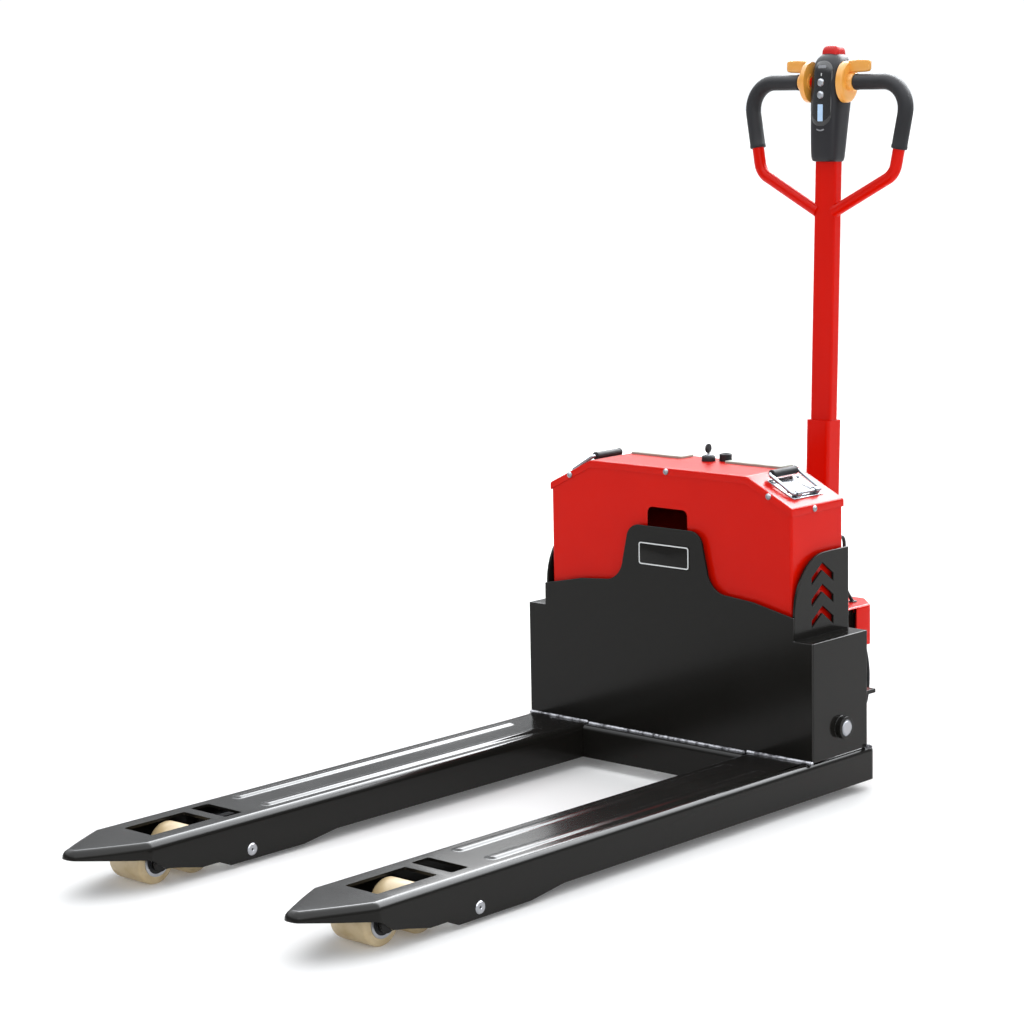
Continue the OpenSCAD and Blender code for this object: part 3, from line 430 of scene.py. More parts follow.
    # the nose is closed underneath
    under = [(x, y) for x, y in outline if y <= nose_end + 0.001]
    right_side = sorted([p for p in under if p[0] >= 0], key=lambda p: p[1])
    left_side = sorted([p for p in under if p[0] < 0], key=lambda p: -p[1])
    inset = plate - 0.001
    ring = [(x - math.copysign(inset, x) if abs(x) > inset else x, max(y, tip + inset))
            for x, y in right_side + left_side]
    loft(bm, [[bm.verts.new((centre + x, y, lower_edge(y) + lift)) for x, y in ring]
              for lift in (0.0006, 0.004)])
    return bm


for side, hand in ((-1, "left"), (1, "right")):
    fork = seat(fork_mesh(side, "fork_" + hand), "fork_" + hand + "_plate", black_paint)
    fit(fork, "fork_frame", "black_paint", "fork_" + hand)


# ---- Mast box ----
# The box that joins the forks: a cross beam, a front plate with a hump, two side boxes, and
# the pierced arrow plates, cut from plate and welded, then powder painted with the forks.
for node, radius in (("cross_beam", 0.0012), ("front_plate", 0.0012), ("side_boxes", 0.0014),
                     ("arrow_plates", 0.0010), ("lift_bracket", 0.0010)):
    worn(node, "painted", "fork_frame", "black_paint", black_paint, radius)


# ---- Power cover and lid ----
# Covers folded from 2.5 mm sheet, in gloss red powder paint. The lid laps over the cover all
# round and is screwed to it.
def red_powder():
    finish = Finish("red_powder", Coat_Weight=0.03, Coat_Roughness=0.06, Specular_IOR_Level=0.09)
    cloud = finish.noise(0.15)
    finish.colour(finish.mix(cloud, rgb(212, 20, 2), rgb(200, 14, 1)))
    finish.roughness(0.20 + 0.10 * cloud)
    finish.relief(finish.noise(0.0026, 2), 0.00006)
    return finish.material


red_paint = red_powder()


def bent_sheet(bm, name, bend, wall):
    """Makes an open shell into painted sheet of a wall's thickness, with its folds bent to a radius."""
    skin_out(bm)
    folds = [e for e in bm.edges if len(e.link_faces) == 2 and e.calc_face_angle() > math.radians(15)]
    bmesh.ops.bevel(bm, geom=folds, offset=bend, segments=4, profile=0.5, affect="EDGES", clamp_overlap=True)
    return thicken(seat(bm, name, red_paint, sharp=60), wall)


def folded_cover(name, section, y0, y1, bend, wall, open_edges):
    """A folded sheet shell: the section in X and Z, run from y0 to y1, with bent corners.
    open_edges are the section's edges that are left open."""
    bm = bmesh.new()
    ends = [[bm.verts.new((x, y, z)) for x, z in section] for y in (y0, y1)]
    count = len(section)
    bm.faces.new(ends[0])
    bm.faces.new(list(reversed(ends[1])))
    for i in range(count):
        if i not in open_edges:
            j = (i + 1) % count
            bm.faces.new((ends[0][i], ends[1][i], ends[1][j], ends[0][j]))
    return bent_sheet(bm, name, bend, wall)


def slab(bm, outline, low, high, place, index=0, ease_by=0.0):
    """A closed plate: the outline from low to high, its upper edge rounded, put in place by a function."""
    levels = [(low, 0.0), (high - ease_by, 0.0)]
    if ease_by:
        levels += [(high - ease_by * (1 - math.sin(t)), ease_by * (1 - math.cos(t)))
                   for t in (math.radians(30), math.radians(60), math.radians(90))]
    middle = Vector([sum(c) / len(outline) for c in zip(*outline)])
    rows = []
    for height, inset in levels:
        row = []
        for u, v in outline:
            gap = Vector((u, v)) - middle
            scale = max(0.0, 1 - inset / max(gap.length, 1e-6))
            row.append(bm.verts.new(place(middle.x + gap.x * scale, middle.y + gap.y * scale, height)))
        rows.append(row)
    loft(bm, rows, index)


def finished(bm, name, *finishes, sharp=35):
    """Points a bmesh's faces outwards and makes it an object."""
    bmesh.ops.remove_doubles(bm, verts=bm.verts, dist=1e-6)
    bmesh.ops.recalc_face_normals(bm, faces=bm.faces)
    return seat(bm, name, *finishes, sharp=sharp)


def cutter(outline, low, high, place=lambda u, v, h: (u, v, h)):
    """A closed prism to cut through a sheet: the outline from low to high, put in place by a function."""
    bm = bmesh.new()
    slab(bm, outline, low, high, place)
    return finished(bm, "cutter", red_paint)


def carve(obj, *cutters):
    """Cuts the cutters out of obj, evens its shading, applies it all and throws the cutters away."""
    for tool in cutters:
        hole = obj.modifiers.new("hole", "BOOLEAN")
        hole.operation, hole.object, hole.solver = "DIFFERENCE", tool, "EXACT"
    obj.modifiers.new("even", "WEIGHTED_NORMAL").weight = 100
    settle(obj)
    for tool in cutters:
        bpy.data.objects.remove(tool)
    return obj


sheet, cover_bend, lid_bend = 0.0025, 0.005, 0.0035
cover_low, cover_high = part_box("power_cover")
lid_low, lid_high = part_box("cover_lid")
flat_half = 0.187
slope_low = 0.545
half = cover_high.x
cover_section = [(-half, cover_low.z), (half, cover_low.z), (half, slope_low - sheet),
                 (flat_half, cover_high.z), (-flat_half, cover_high.z), (-half, slope_low - sheet)]
cover = folded_cover("power_cover_sheet", cover_section, cover_low.y, cover_high.y, cover_bend, sheet, {0})
slot_foot, slot_top, slot_half, slot_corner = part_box("lift_bracket")[0].z - 0.006, 0.520, 0.048, 0.012
slot = shifted(rounded_box(slot_half, (slot_top - slot_foot) / 2, slot_corner), 0, (slot_foot + slot_top) / 2)
slot_cutter = cutter(slot, cover_low.y - 0.01, cover_low.y + 0.02, lambda x, z, y: (x, y, z))
fit(carve(cover, slot_cutter), "power_unit", "red_paint", "power_cover")

rim = 0.014
lid_half = lid_high.x
lid_section = [(-lid_half, slope_low - rim), (-flat_half, lid_high.z - rim), (flat_half, lid_high.z - rim),
               (lid_half, slope_low - rim), (lid_half, slope_low), (flat_half, lid_high.z),
               (-flat_half, lid_high.z), (-lid_half, slope_low)]
lid = folded_cover("cover_lid_sheet", lid_section, lid_low.y, lid_high.y, lid_bend, sheet, {0, 1, 2})
fit(carve(lid), "power_unit", "red_paint", "cover_lid")


# ---- Nameplate ----
# A thin black plate with a raised pale border, fixed flat on the mast's hump. It is left
# blank.
pale_line = Finish("pale_line", Base_Color=rgb(222, 224, 224), Roughness=0.45)
pale_line.roughness(0.4 + 0.15 * pale_line.noise(0.01))
plate_low, plate_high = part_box("nameplate")
plate_mid = (plate_low + plate_high) / 2


def on_mast(u, v, height):
    return plate_mid.x + u, plate_high.y - height, plate_mid.z + v


bm = bmesh.new()
plate_w, plate_h = (plate_high.x - plate_low.x) / 2, (plate_high.z - plate_low.z) / 2
slab(bm, rounded_box(plate_w, plate_h, 0.006), 0, 0.0008, on_mast, 0, 0.0002)
line_out, line_in = 0.002, 0.0042
outer = rounded_box(plate_w - line_out, plate_h - line_out, 0.005)
inner = rounded_box(plate_w - line_in, plate_h - line_in, 0.003)
border = [[bm.verts.new(on_mast(u, v, h)) for u, v in ring]
          for ring, h in ((outer, 0.0006), (outer, 0.0012), (inner, 0.0012), (inner, 0.0006))]
for row, following in zip(border, border[1:] + border[:1]):
    mark(bm, row, following, 1)
bmesh.ops.recalc_face_normals(bm, faces=bm.faces)
fit(seat(bm, "nameplate_blank", black_paint, pale_line.material), "fork_frame", "plate", "nameplate")


# ---- Weld beads ----
# The seam between the forks and the mast box: overlapping ripples of weld metal, sooty in
# patches, laid one after the other along the joint.
def input_key(tree, name):
    """The identifier of a tree's named input."""
    return next(i.identifier for i in tree.interface.items_tree if i.name == name and i.in_out == "INPUT")


def grow(obj, tree, **values):
    """Runs a Geometry Nodes tree on obj with its named inputs, and keeps the result as a plain mesh."""
    growth = obj.modifiers.new(tree.name, "NODES")
    growth.node_group = tree
    for name, value in values.items():
        growth[input_key(tree, name)] = value
    return settle(obj)


def tree_with(name, **sockets):
    """A new Geometry Nodes tree with a geometry input and output and these named inputs."""
    tree = bpy.data.node_groups.new(name, "GeometryNodeTree")
    tree.interface.new_socket("Geometry", in_out="INPUT", socket_type="NodeSocketGeometry")
    for label, kind in sockets.items():
        tree.interface.new_socket(label, in_out="INPUT", socket_type="NodeSocket" + kind)
    tree.interface.new_socket("Geometry", in_out="OUTPUT", socket_type="NodeSocketGeometry")
    return tree, tree.nodes.new("NodeGroupInput"), tree.nodes.new("NodeGroupOutput")


def part_of(tree, kind, settings=None, inputs=None):
    """Adds a node to a tree: its settings first, then the values or links of its sockets."""
    made = tree.nodes.new(kind)
    for key, value in (settings or {}).items():
        setattr(made, key, value)
    for key, value in (inputs or {}).items():
        if isinstance(value, bpy.types.NodeSocket):
            tree.links.new(value, made.inputs[key])
        else:
            made.inputs[key].default_value = value
    return made


def weld_tree():
    """Ripples along every edge line of a mesh, each a squashed ball turned and sized a little at random."""
    tree, given, result = tree_with("weld_ripples", Pitch="Float", Radius="Float", Metal="Material")
    line = part_of(tree, "GeometryNodeMeshToCurve", {}, {0: given.outputs["Geometry"]})
    spots = part_of(tree, "GeometryNodeCurveToPoints", {"mode": "LENGTH"},
                    {"Curve": line.outputs[0], "Length": given.outputs["Pitch"]})
    ball = part_of(tree, "GeometryNodeMeshUVSphere", {},
                   {"Segments": 12, "Rings": 7, "Radius": given.outputs["Radius"]})
    size = part_of(tree, "FunctionNodeRandomValue", {"data_type": "FLOAT_VECTOR"},
                   {"Min": (0.60, 0.85, 0.85), "Max": (0.80, 1.0, 1.0), "Seed": 3})
    spin = part_of(tree, "FunctionNodeRandomValue", {"data_type": "FLOAT_VECTOR"},
                   {"Min": (-0.5, -0.25, -0.25), "Max": (0.5, 0.25, 0.25), "Seed": 8})
    laid = part_of(tree, "GeometryNodeInstanceOnPoints", {},
                   {"Points": spots.outputs["Points"], "Instance": ball.outputs["Mesh"],
                    "Scale": size.outputs["Value"], "Rotation": spin.outputs["Value"]})
    real = part_of(tree, "GeometryNodeRealizeInstances", {}, {0: laid.outputs[0]})
    smooth = part_of(tree, "GeometryNodeSetShadeSmooth", {}, {0: real.outputs[0]})
    metal = part_of(tree, "GeometryNodeSetMaterial", {},
                    {0: smooth.outputs[0], "Material": given.outputs["Metal"]})
    tree.links.new(metal.outputs[0], result.inputs[0])
    return tree


def weld_metal():
    finish = Finish("weld_metal", Metallic=0.85)
    soot = finish.noise(0.012, 4).clamped(0.42, 0.68)
    finish.colour(finish.mix(soot, rgb(150, 150, 154), rgb(58, 57, 60)))
    finish.roughness(0.38 + 0.3 * soot)
    finish.relief(finish.noise(0.0015, 3), 0.0002)
    return finish.material


weld_low, weld_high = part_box("weld_beads")
bead, seam_z = 0.0046, weld_high.z - 0.004
beam_low, beam_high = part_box("cross_beam")
front_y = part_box("front_plate")[0].y
box_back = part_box("side_boxes")[1].y
arrow_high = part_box("arrow_plates")[1]
seams = [((weld_low.x, front_y, seam_z), (beam_low.x - 0.004, front_y, seam_z)),
         ((beam_low.x + 0.004, front_y, seam_z - 0.002), (beam_high.x - 0.004, front_y, seam_z - 0.002)),
         ((beam_high.x + 0.004, front_y, seam_z), (weld_high.x, front_y, seam_z))]
seams += [((s * arrow_high.x, box_back, seam_z), (s * (weld_high.x + 0.008), box_back, seam_z))
          for s in (-1, 1)]
bm = bmesh.new()
for a, b in seams:
    bm.edges.new((bm.verts.new(a), bm.verts.new(b)))
welds = grow(seat(bm, "weld_ripples"), weld_tree(), Pitch=0.0034, Radius=bead, Metal=weld_metal())
fit(welds, "fork_frame", "weld", "weld_beads")


# ---- Lift rod, fork pins, cranks and push rods ----
# The bright steel of the lifting gear: a ground rod out of the lift cylinder, plain pins with
# chamfered ends, cranks on short shafts, and the push rods inside the forks.
def bare_steel(name, tone, rough, grain=(1, 1, 1), grain_size=0.0015):
    finish = Finish(name, Metallic=1.0, Base_Color=tone)
    streaks = finish.noise(grain_size, 4, grain)
    finish.roughness(rough + 0.14 * streaks + 0.06 * finish.noise(0.03))
    finish.relief(streaks, 0.00002)
    return finish.material


steel = bare_steel("bright_steel", rgb(160, 161, 165), 0.20)
chrome = bare_steel("chrome_plate", rgb(142, 144, 149), 0.16)
zinc = bare_steel("zinc_plate", rgb(150, 153, 158), 0.28)


def turned(bm, profile, centre, axis, index=0, steps=48):
    """A solid of revolution about axis through centre. The profile is (radius, distance along axis) pairs,
    a closed loop, or a line that starts and ends on the axis."""
    axis = Vector(axis).normalized()
    across = axis.orthogonal().normalized()
    upright = axis.cross(across)
    centre = Vector(centre)
    rows = []
    for radius, along in profile:
        if radius < 1e-7:
            rows.append([bm.verts.new(centre + axis * along)])
        else:
            rows.append([bm.verts.new(centre + axis * along
                                      + radius * (math.cos(t) * across + math.sin(t) * upright))
                         for t in (math.tau * i / steps for i in range(steps))])
    closed = profile[0][0] > 1e-7
    for row, following in zip(rows, rows[1:] + (rows[:1] if closed else [])):
        for i in range(steps):
            j = (i + 1) % steps
            corners = [row[i % len(row)], row[j % len(row)],
                       following[j % len(following)], following[i % len(following)]]
            kept = list(dict.fromkeys(corners))
            if len(kept) > 2:
                bm.faces.new(kept).material_index = index


def round_bar(radius, length, chamfer):
    """The profile of a bar with chamfered ends, from 0 to length."""
    return [(0, 0), (radius - chamfer, 0), (radius, chamfer), (radius, length - chamfer),
            (radius - chamfer, length), (0, length)]


rod_low, rod_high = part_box("lift_rod")
rod_mid = (rod_low + rod_high) / 2
bm = bmesh.new()
turned(bm, round_bar((rod_high.x - rod_low.x) / 2, rod_high.z - rod_low.z, 0.0015),
       (rod_mid.x, rod_mid.y, rod_low.z), (0, 0, 1))
fit(finished(bm, "lift_rod_chromed", chrome), "fork_frame", "bright_steel", "lift_rod")

pin_low, pin_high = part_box("fork_pins")
pin_r, pin_out = (pin_high.z - pin_low.z) / 2, 0.0015
bm = bmesh.new()
for s, hand in ((-1, "left"), (1, "right")):
    fork_low, fork_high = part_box("fork_" + hand)
    start, length = fork_low.x - pin_out, fork_high.x - fork_low.x + 2 * pin_out
    profile = [(0, 0.0016), (0.0022, 0.0016), (0.003, 0.0004), (pin_r - 0.0016, 0), (pin_r, 0.0016)]
    profile += [(radius, length - along) for radius, along in reversed(profile)]
    turned(bm, profile, (start, (pin_low.y + pin_high.y) / 2, (pin_low.z + pin_high.z) / 2), (1, 0, 0))
fit(finished(bm, "fork_pins_turned", steel), "fork_frame", "bright_steel", "fork_pins")

worn("linkage_cranks", "cut", "cranks", "bright_steel", steel, 0.0010)
worn("push_rods", "cut", "rods", "bright_steel", steel, 0.0008)
crank_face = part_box("linkage_cranks")[1].x - 0.0012
crank_axis = (front_y + 0.090, 0.137)
ring_in, ring_out, ring_back, ring_front = 0.0118, 0.0155, -0.0012, 0.0002
ring_profile = [(ring_in, ring_back), (ring_out, ring_back), (ring_out, ring_front), (ring_in, ring_front)]
bm = bmesh.new()
for s in (-1, 1):
    turned(bm, ring_profile, (s * crank_face, *crank_axis), (s, 0, 0))
fit(finished(bm, "crank_retaining_rings", zinc), "cranks", "bright_steel")


# ---- Load rollers ----
# Cast polyurethane treads on steel hubs, two in each fork on a rocking bogie between arms.
# The treads are cream and dull, scuffed where they run.
for hand in ("left", "right"):
    worn("bogie_" + hand, "cut", "bogie_" + hand[0], "bright_steel", black_paint, 0.0010)
worn("roller_arms", "cut", "arms", "black_paint", black_paint, 0.0012)


def cast_tread():
    finish = Finish("cream_tread", Coat_Weight=0.1)
    scuff = finish.noise(0.025, 5).clamped(0.35, 0.8)
    finish.colour(finish.mix(scuff, rgb(204, 184, 146), rgb(186, 163, 122)))
    finish.roughness(0.38 + 0.2 * scuff)
    finish.relief(finish.noise(0.002, 4), 0.0001)
    return finish.material


def moulded(name, tone, rough, grain=0.0012, depth=0.00008, coat=0.0):
    """Moulded plastic or rubber with a fine leathery grain."""
    finish = Finish(name, Coat_Weight=coat, Specular_IOR_Level=0.3)
    finish.colour(finish.mix(finish.noise(0.05), tone, tuple(c * 0.86 for c in tone[:3]) + (1,)))
    finish.roughness(rough + 0.12 * finish.noise(0.02))
    finish.relief(finish.noise(grain, 3), depth)
    return finish.material


tread = cast_tread()
seal_rubber = moulded("seal_rubber", rgb(30, 30, 32), 0.5)
core, sleeve, hub, bore, lip = 0.0255, 0.0205, 0.0125, 0.0087, 0.002
land, soft = 0.0075, 0.0055
for place in ("front", "rear"):
    for hand in ("left", "right"):
        node = "roller_" + place + "_" + hand
        low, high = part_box(node)
        mid, wide, radius = (low + high) / 2, (high.x - low.x) / 2, (high.z - low.z) / 2
        shoulder = [(radius, land - wide)]
        shoulder += [(radius - soft * (1 - math.cos(t)), land - wide - soft * math.sin(t))
                     for t in (math.radians(30), math.radians(60), math.radians(90))]
        crown = list(reversed(shoulder)) + [(r, -x) for r, x in shoulder]
        bm = bmesh.new()
        turned(bm, [(core, lip - wide)] + crown + [(core, wide - lip)], mid, (1, 0, 0), 0, 72)
        # a steel sleeve under the tread, a rubber seal and a steel bush round the axle
        for inner, outer, short, index in ((sleeve, core, 0.0005, 1), (hub, sleeve, 0.0016, 2),
                                           (bore, hub, 0, 1)):
            reach = wide - short
            ring = [(inner, -reach), (outer, -reach), (outer, reach), (inner, reach)]
            turned(bm, ring, mid, (1, 0, 0), index)
        roller = finished(bm, node + "_cast", tread, steel, seal_rubber)
        fit(roller, "roller_" + place[0] + hand[0], "nylon", node)


# ---- Chassis, batteries and hydraulics ----
# What the covers hide: the tray and steering arm in black paint, two battery packs, the motor
# controller with its cooling fins, the pump and motor in line, and the lift cylinder.
battery_case = moulded("battery_case", rgb(44, 50, 60), 0.45)
casting = moulded("cast_alloy", rgb(150, 152, 154), 0.42, 0.002, 0.0002)
motor_black = moulded("motor_enamel", rgb(32, 33, 35), 0.35, 0.003, 0.0001)
for node, made, slot, finish, radius in (
        ("chassis_frame", "welded", "black_paint", black_paint, 0.0015),
        ("battery_pack", "cased", "battery", battery_case, 0.003),
        ("motor_controller", "finned", "aluminium", casting, 0.0008),
        ("power_pack", "built", "aluminium", casting, 0.0015),
        ("lift_cylinder", "barrel", "black_paint", black_paint, 0.0015)):
    worn(node, made, "power_unit", slot, finish, radius)


# ---- Rear housing, drive hood and stop button ----
# Pressed red caps over the pump and over the drive wheel, with soft corners, and a mushroom
# button on top for emergencies.
def pressed_cap(name, plan, low, high, bend, wall, *cutters):
    """A sheet cap with an open bottom: the plan's outline drawn up to a flat top, then cut."""
    bm = bmesh.new()
    foot, crown = ([bm.verts.new((x, y, z)) for x, y in plan] for z in (low, high))
    mark(bm, foot, crown)
    bm.faces.new(crown)
    return carve(bent_sheet(bm, name, bend, wall), *cutters)


house_low, house_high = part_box("rear_housing")
stop_low, stop_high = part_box("stop_button")
stop_mid = (stop_low + stop_high) / 2
end_half, knee = 0.105, 0.024
house_plan = [(house_low.x, house_low.y), (house_high.x, house_low.y), (house_high.x, house_low.y + knee),
              (end_half, house_high.y), (-end_half, house_high.y), (house_low.x, house_low.y + knee)]
cap_wall, through = 0.003, 0.02
stop_hole = cutter(arc((stop_mid.x, stop_mid.y), 0.0074, 0, 350, 35),
                   house_high.z - through, house_high.z + through)
fit(pressed_cap("rear_housing_pressed", house_plan, house_low.z, house_high.z, 0.008, cap_wall, stop_hole),
    "power_unit", "red_paint", "rear_housing")

steer_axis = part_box("tiller_pin")
steer_y = (steer_axis[0].y + steer_axis[1].y) / 2
hood_low, hood_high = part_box("drive_hood")
hood_half, chamfer = hood_high.x, 0.045
hood_plan = [(-hood_half, hood_low.y), (hood_half, hood_low.y), (hood_half, hood_high.y - chamfer),
             (hood_half - chamfer, hood_high.y), (chamfer - hood_half, hood_high.y),
             (-hood_half, hood_high.y - chamfer)]
# the hood is open towards the truck, and is pierced for the column and for the motor's cable
mouth_half, mouth_end = 0.1, steer_y + 0.022
mouth = [(-mouth_half, steer_y - 0.1), (mouth_half, steer_y - 0.1),
         (mouth_half, mouth_end), (-mouth_half, mouth_end)]
mouth_cut = cutter(mouth, hood_low.z - 0.01, hood_high.z - 0.0031)
column_cut = cutter(arc((0, steer_y), 0.029, 0, 352, 44), hood_high.z - through, hood_high.z + through)
cable_x, cable_y = 0.030, steer_y + 0.063
cable_cut = cutter(arc((cable_x, cable_y), 0.006, 0, 345, 23), hood_high.z - through, hood_high.z + through)
hood = pressed_cap("drive_hood_pressed", hood_plan, hood_low.z, hood_high.z, 0.006, cap_wall,
                   mouth_cut, column_cut, cable_cut)
fit(hood, "steering_head", "red_paint", "drive_hood")

red_plastic = moulded("red_plastic", rgb(196, 18, 14), 0.38, 0.002, 0.00003, 0.05)
bm = bmesh.new()
crown = [(radius, stop_high.z - drop) for radius, drop in (
    (0, 0), (0.010, 0.0004), (0.0165, 0.0022), (0.0192, 0.0055), (0.0198, 0.0085), (0.0190, 0.0100),
    (0.0072, 0.0102))]
crown += [(0.0066, stop_low.z), (0, stop_low.z)]
turned(bm, crown, (stop_mid.x, stop_mid.y, 0), (0, 0, 1))
fit(finished(bm, "stop_button_moulded", red_plastic), "stop", "red_plastic", "stop_button")


# ---- Lid screws ----
# Zinc-plated cup-head screws with a cross recess. Three along the front and one at each end
# hold the lid to the cover.
def screw_head(name, radius, height):
    """A cup head with a cross recess, standing on the origin along Z."""
    bm = bmesh.new()
    crown = [(radius, 0), (radius, height * 0.25)]
    crown += [(radius * math.cos(t), height * (0.25 + 0.75 * math.sin(t)))
              for t in (math.radians(25), math.radians(45), math.radians(62))]
    recess = [(radius * 0.42, height), (radius * 0.30, height * 0.55), (0, height * 0.45)]
    turned(bm, [(0, 0)] + crown + recess, (0, 0, 0), (0, 0, 1), 0, 16)
    return finished(bm, name, zinc, sharp=30)


def fastener_tree():
    """Puts a copy of Part on every face of a mesh, with its Z along the face's normal."""
    tree, given, result = tree_with("fasteners", Part="Object", Metal="Material")
    facing = part_of(tree, "GeometryNodeInputNormal")
    turn_to = part_of(tree, "FunctionNodeAlignRotationToVector", {"axis": "Z"}, {"Vector": facing.outputs[0]})
    source = part_of(tree, "GeometryNodeObjectInfo", {"transform_space": "ORIGINAL"},
                     {"Object": given.outputs["Part"]})
    held = part_of(tree, "GeometryNodeCaptureAttribute", {"domain": "FACE"},
                   {"Geometry": given.outputs["Geometry"]})
    held.capture_items.new("ROTATION", "Turn")
    tree.links.new(turn_to.outputs[0], held.inputs["Turn"])
    spots = part_of(tree, "GeometryNodeMeshToPoints", {"mode": "FACES"}, {"Mesh": held.outputs["Geometry"]})
    laid = part_of(tree, "GeometryNodeInstanceOnPoints", {},
                   {"Points": spots.outputs["Points"], "Instance": source.outputs["Geometry"],
                    "Rotation": held.outputs["Turn"]})
    real = part_of(tree, "GeometryNodeRealizeInstances", {}, {0: laid.outputs[0]})
    metal = part_of(tree, "GeometryNodeSetMaterial", {},
                    {0: real.outputs[0], "Material": given.outputs["Metal"]})
    tree.links.new(metal.outputs[0], result.inputs[0])
    return tree


fasteners = fastener_tree()


def scatter(name, spots, head, metal):
    """One mesh of heads, each on a spot: a place and the way it faces."""
    bm = bmesh.new()
    for place, facing in spots:
        facing = Vector(facing).normalized()
        across = facing.orthogonal().normalized() * 0.001
        over = facing.cross(across)
        corners = [Vector(place) + across * a + over * b for a, b in ((1, 0), (-0.5, 0.866), (-0.5, -0.866))]
        bm.faces.new([bm.verts.new(c) for c in corners])
    return grow(seat(bm, name), fasteners, Part=head, Metal=metal)


rim_z = 0.007
slope_x, slope_z = (lid_half + flat_half) / 2, (lid_high.z + slope_low) / 2 - rim_z
cup = screw_head("cup_head", 0.006, 0.0034)
spots = [((0, lid_low.y, lid_high.z - rim_z), (0, -1, 0))]
spots += [((s * slope_x, lid_low.y, slope_z), (0, -1, 0)) for s in (-1, 1)]
spots += [((s * lid_half, front_y + 0.078, slope_low - rim_z), (s, 0, 0)) for s in (-1, 1)]
fit(scatter("lid_screws_cup_head", spots, cup, zinc), "power_unit", "bright_steel", "lid_screws")
bpy.data.objects.remove(cup)


# ---- Lid panels, key switch and charge socket ----
# Two pale panels beside the key switch, the switch's black collar with its chromed ring and
# key, and a round charging socket with three pins.
pale_plastic = moulded("pale_plastic", rgb(168, 174, 164), 0.5, 0.0015, 0.00004)
dark_plastic = moulded("dark_plastic", rgb(30, 30, 33), 0.42)
panel_low, panel_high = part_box("lid_panels")
panel_gap_left, panel_gap_right = 0.056, 0.048
bm = bmesh.new()
for s in (-1, 1):
    inner = panel_gap_left if s < 0 else panel_gap_right
    mid, half_w = (panel_high.x + inner) / 2 * s, (panel_high.x - inner) / 2
    deep = (panel_high.y - panel_low.y) / 2
    slab(bm, rounded_box(half_w, deep, 0.006), panel_low.z, panel_high.z,
         lambda u, v, h: (mid + u, panel_low.y + deep + v, h), 0, 0.0015)
fit(finished(bm, "lid_panels_moulded", pale_plastic), "power_unit", "pale_plastic", "lid_panels")

switch_low, switch_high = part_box("key_switch")
switch = (switch_low + switch_high) / 2
up = (0, 0, 1)
tall = switch_high.z - switch_low.z
bm = bmesh.new()
foot = (switch.x, switch.y, switch_low.z)
ring_r, pocket_r, pocket_z, collar_r = 0.0078, 0.0060, 0.0030, 0.013
chromed_ring = [(0.0053, 0.004), (0.0053, tall), (0.0075, tall), (ring_r, tall - 0.0008), (ring_r, 0.004)]
turned(bm, chromed_ring, foot, up, 1)
collar = [(0, pocket_z), (pocket_r, pocket_z), (pocket_r, 0.0045), (ring_r, 0.0045), (ring_r, tall - 0.0015),
          (0.0108, tall - 0.0015), (0.0122, tall - 0.003), (collar_r, tall - 0.006), (collar_r, 0), (0, 0)]
turned(bm, collar, foot, up, 0)
fit(finished(bm, "key_switch_collar", dark_plastic, chrome), "power_unit", "dark_plastic", "key_switch")

key_low, key_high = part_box("ignition_key")
bm = bmesh.new()
turned(bm, round_bar(0.0048, 0.0078, 0.0008), (switch.x, switch.y, key_low.z + 0.0004), up, 0)
slab(bm, rounded_box(0.0012, 0.0032, 0.0006), key_low.z + 0.008, key_low.z + 0.014,
     lambda u, v, h: (switch.x + u, switch.y + v, h), 0)
bow_z = key_high.z - 0.009
slab(bm, [(u * 0.95, v) for u, v in arc((0, 0), 0.009, 0, 350, 35)], -0.0015, 0.0015,
     lambda u, v, h: (switch.x + h, switch.y + u, bow_z + v), 1, 0.0007)
fit(finished(bm, "ignition_key_cut", steel, dark_plastic), "key", "bright_steel", "ignition_key")

socket_low, socket_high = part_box("charge_socket")
socket = (socket_low + socket_high) / 2
tall = socket_high.z - socket_low.z
bm = bmesh.new()
turned(bm, [(0, 0.006), (0.0078, 0.006), (0.0078, tall - 0.001), (0.0088, tall), (0.0108, tall),
            (0.012, tall - 0.0015), (0.012, 0), (0, 0)], (socket.x, socket.y, socket_low.z), up)
for x in (0, 0.0042, -0.0042):
    turned(bm, round_bar(0.0011, 0.005, 0.0003), (socket.x + x, socket.y, socket_low.z + 0.005), up, 1, 12)
fit(finished(bm, "charge_socket_round", dark_plastic, steel), "power_unit", "dark_plastic", "charge_socket")


# ---- Lid handles ----
# A chromed base plate riveted to each slope of the lid, and a sprung bail that folds flat
# against it, with a black rubber grip.
def swept(bm, path, radii, index=0, steps=20, aside=(0, 0, 1)):
    """A round tube along a path with a radius at each point and closed ends."""
    rows, upright = [], Vector(aside)
    for i, (place, radius) in enumerate(zip(path, radii)):
        ahead = path[min(i + 1, len(path) - 1)] - path[max(i - 1, 0)]
        if ahead.length < 1e-9:
            ahead = path[min(i + 2, len(path) - 1)] - path[max(i - 2, 0)]
        ahead.normalize()
        across = ahead.cross(upright).normalized()
        upright = across.cross(ahead).normalized()
        rows.append([bm.verts.new(place + radius * (math.cos(t) * across + math.sin(t) * upright))
                     for t in (math.tau * k / steps for k in range(steps))])
    loft(bm, rows, index)


def rounded_path(corners, bend, steps=8):
    """A path through corners with each inner corner turned into an arc of that radius."""
    path = [corners[0]]
    for before, corner, after in zip(corners, corners[1:], corners[2:]):
        into, out = (corner - before).normalized(), (after - corner).normalized()
        angle = into.angle(out)
        back = bend * math.tan(angle / 2)
        inward = (out - into).normalized()
        centre = corner + inward * (bend / math.cos(angle / 2))
        first, last = corner - into * back - centre, corner + out * back - centre
        for k in range(steps + 1):
            share = k / steps
            path.append(centre + bend * first.slerp(last, share))
    return path + [corners[-1]]


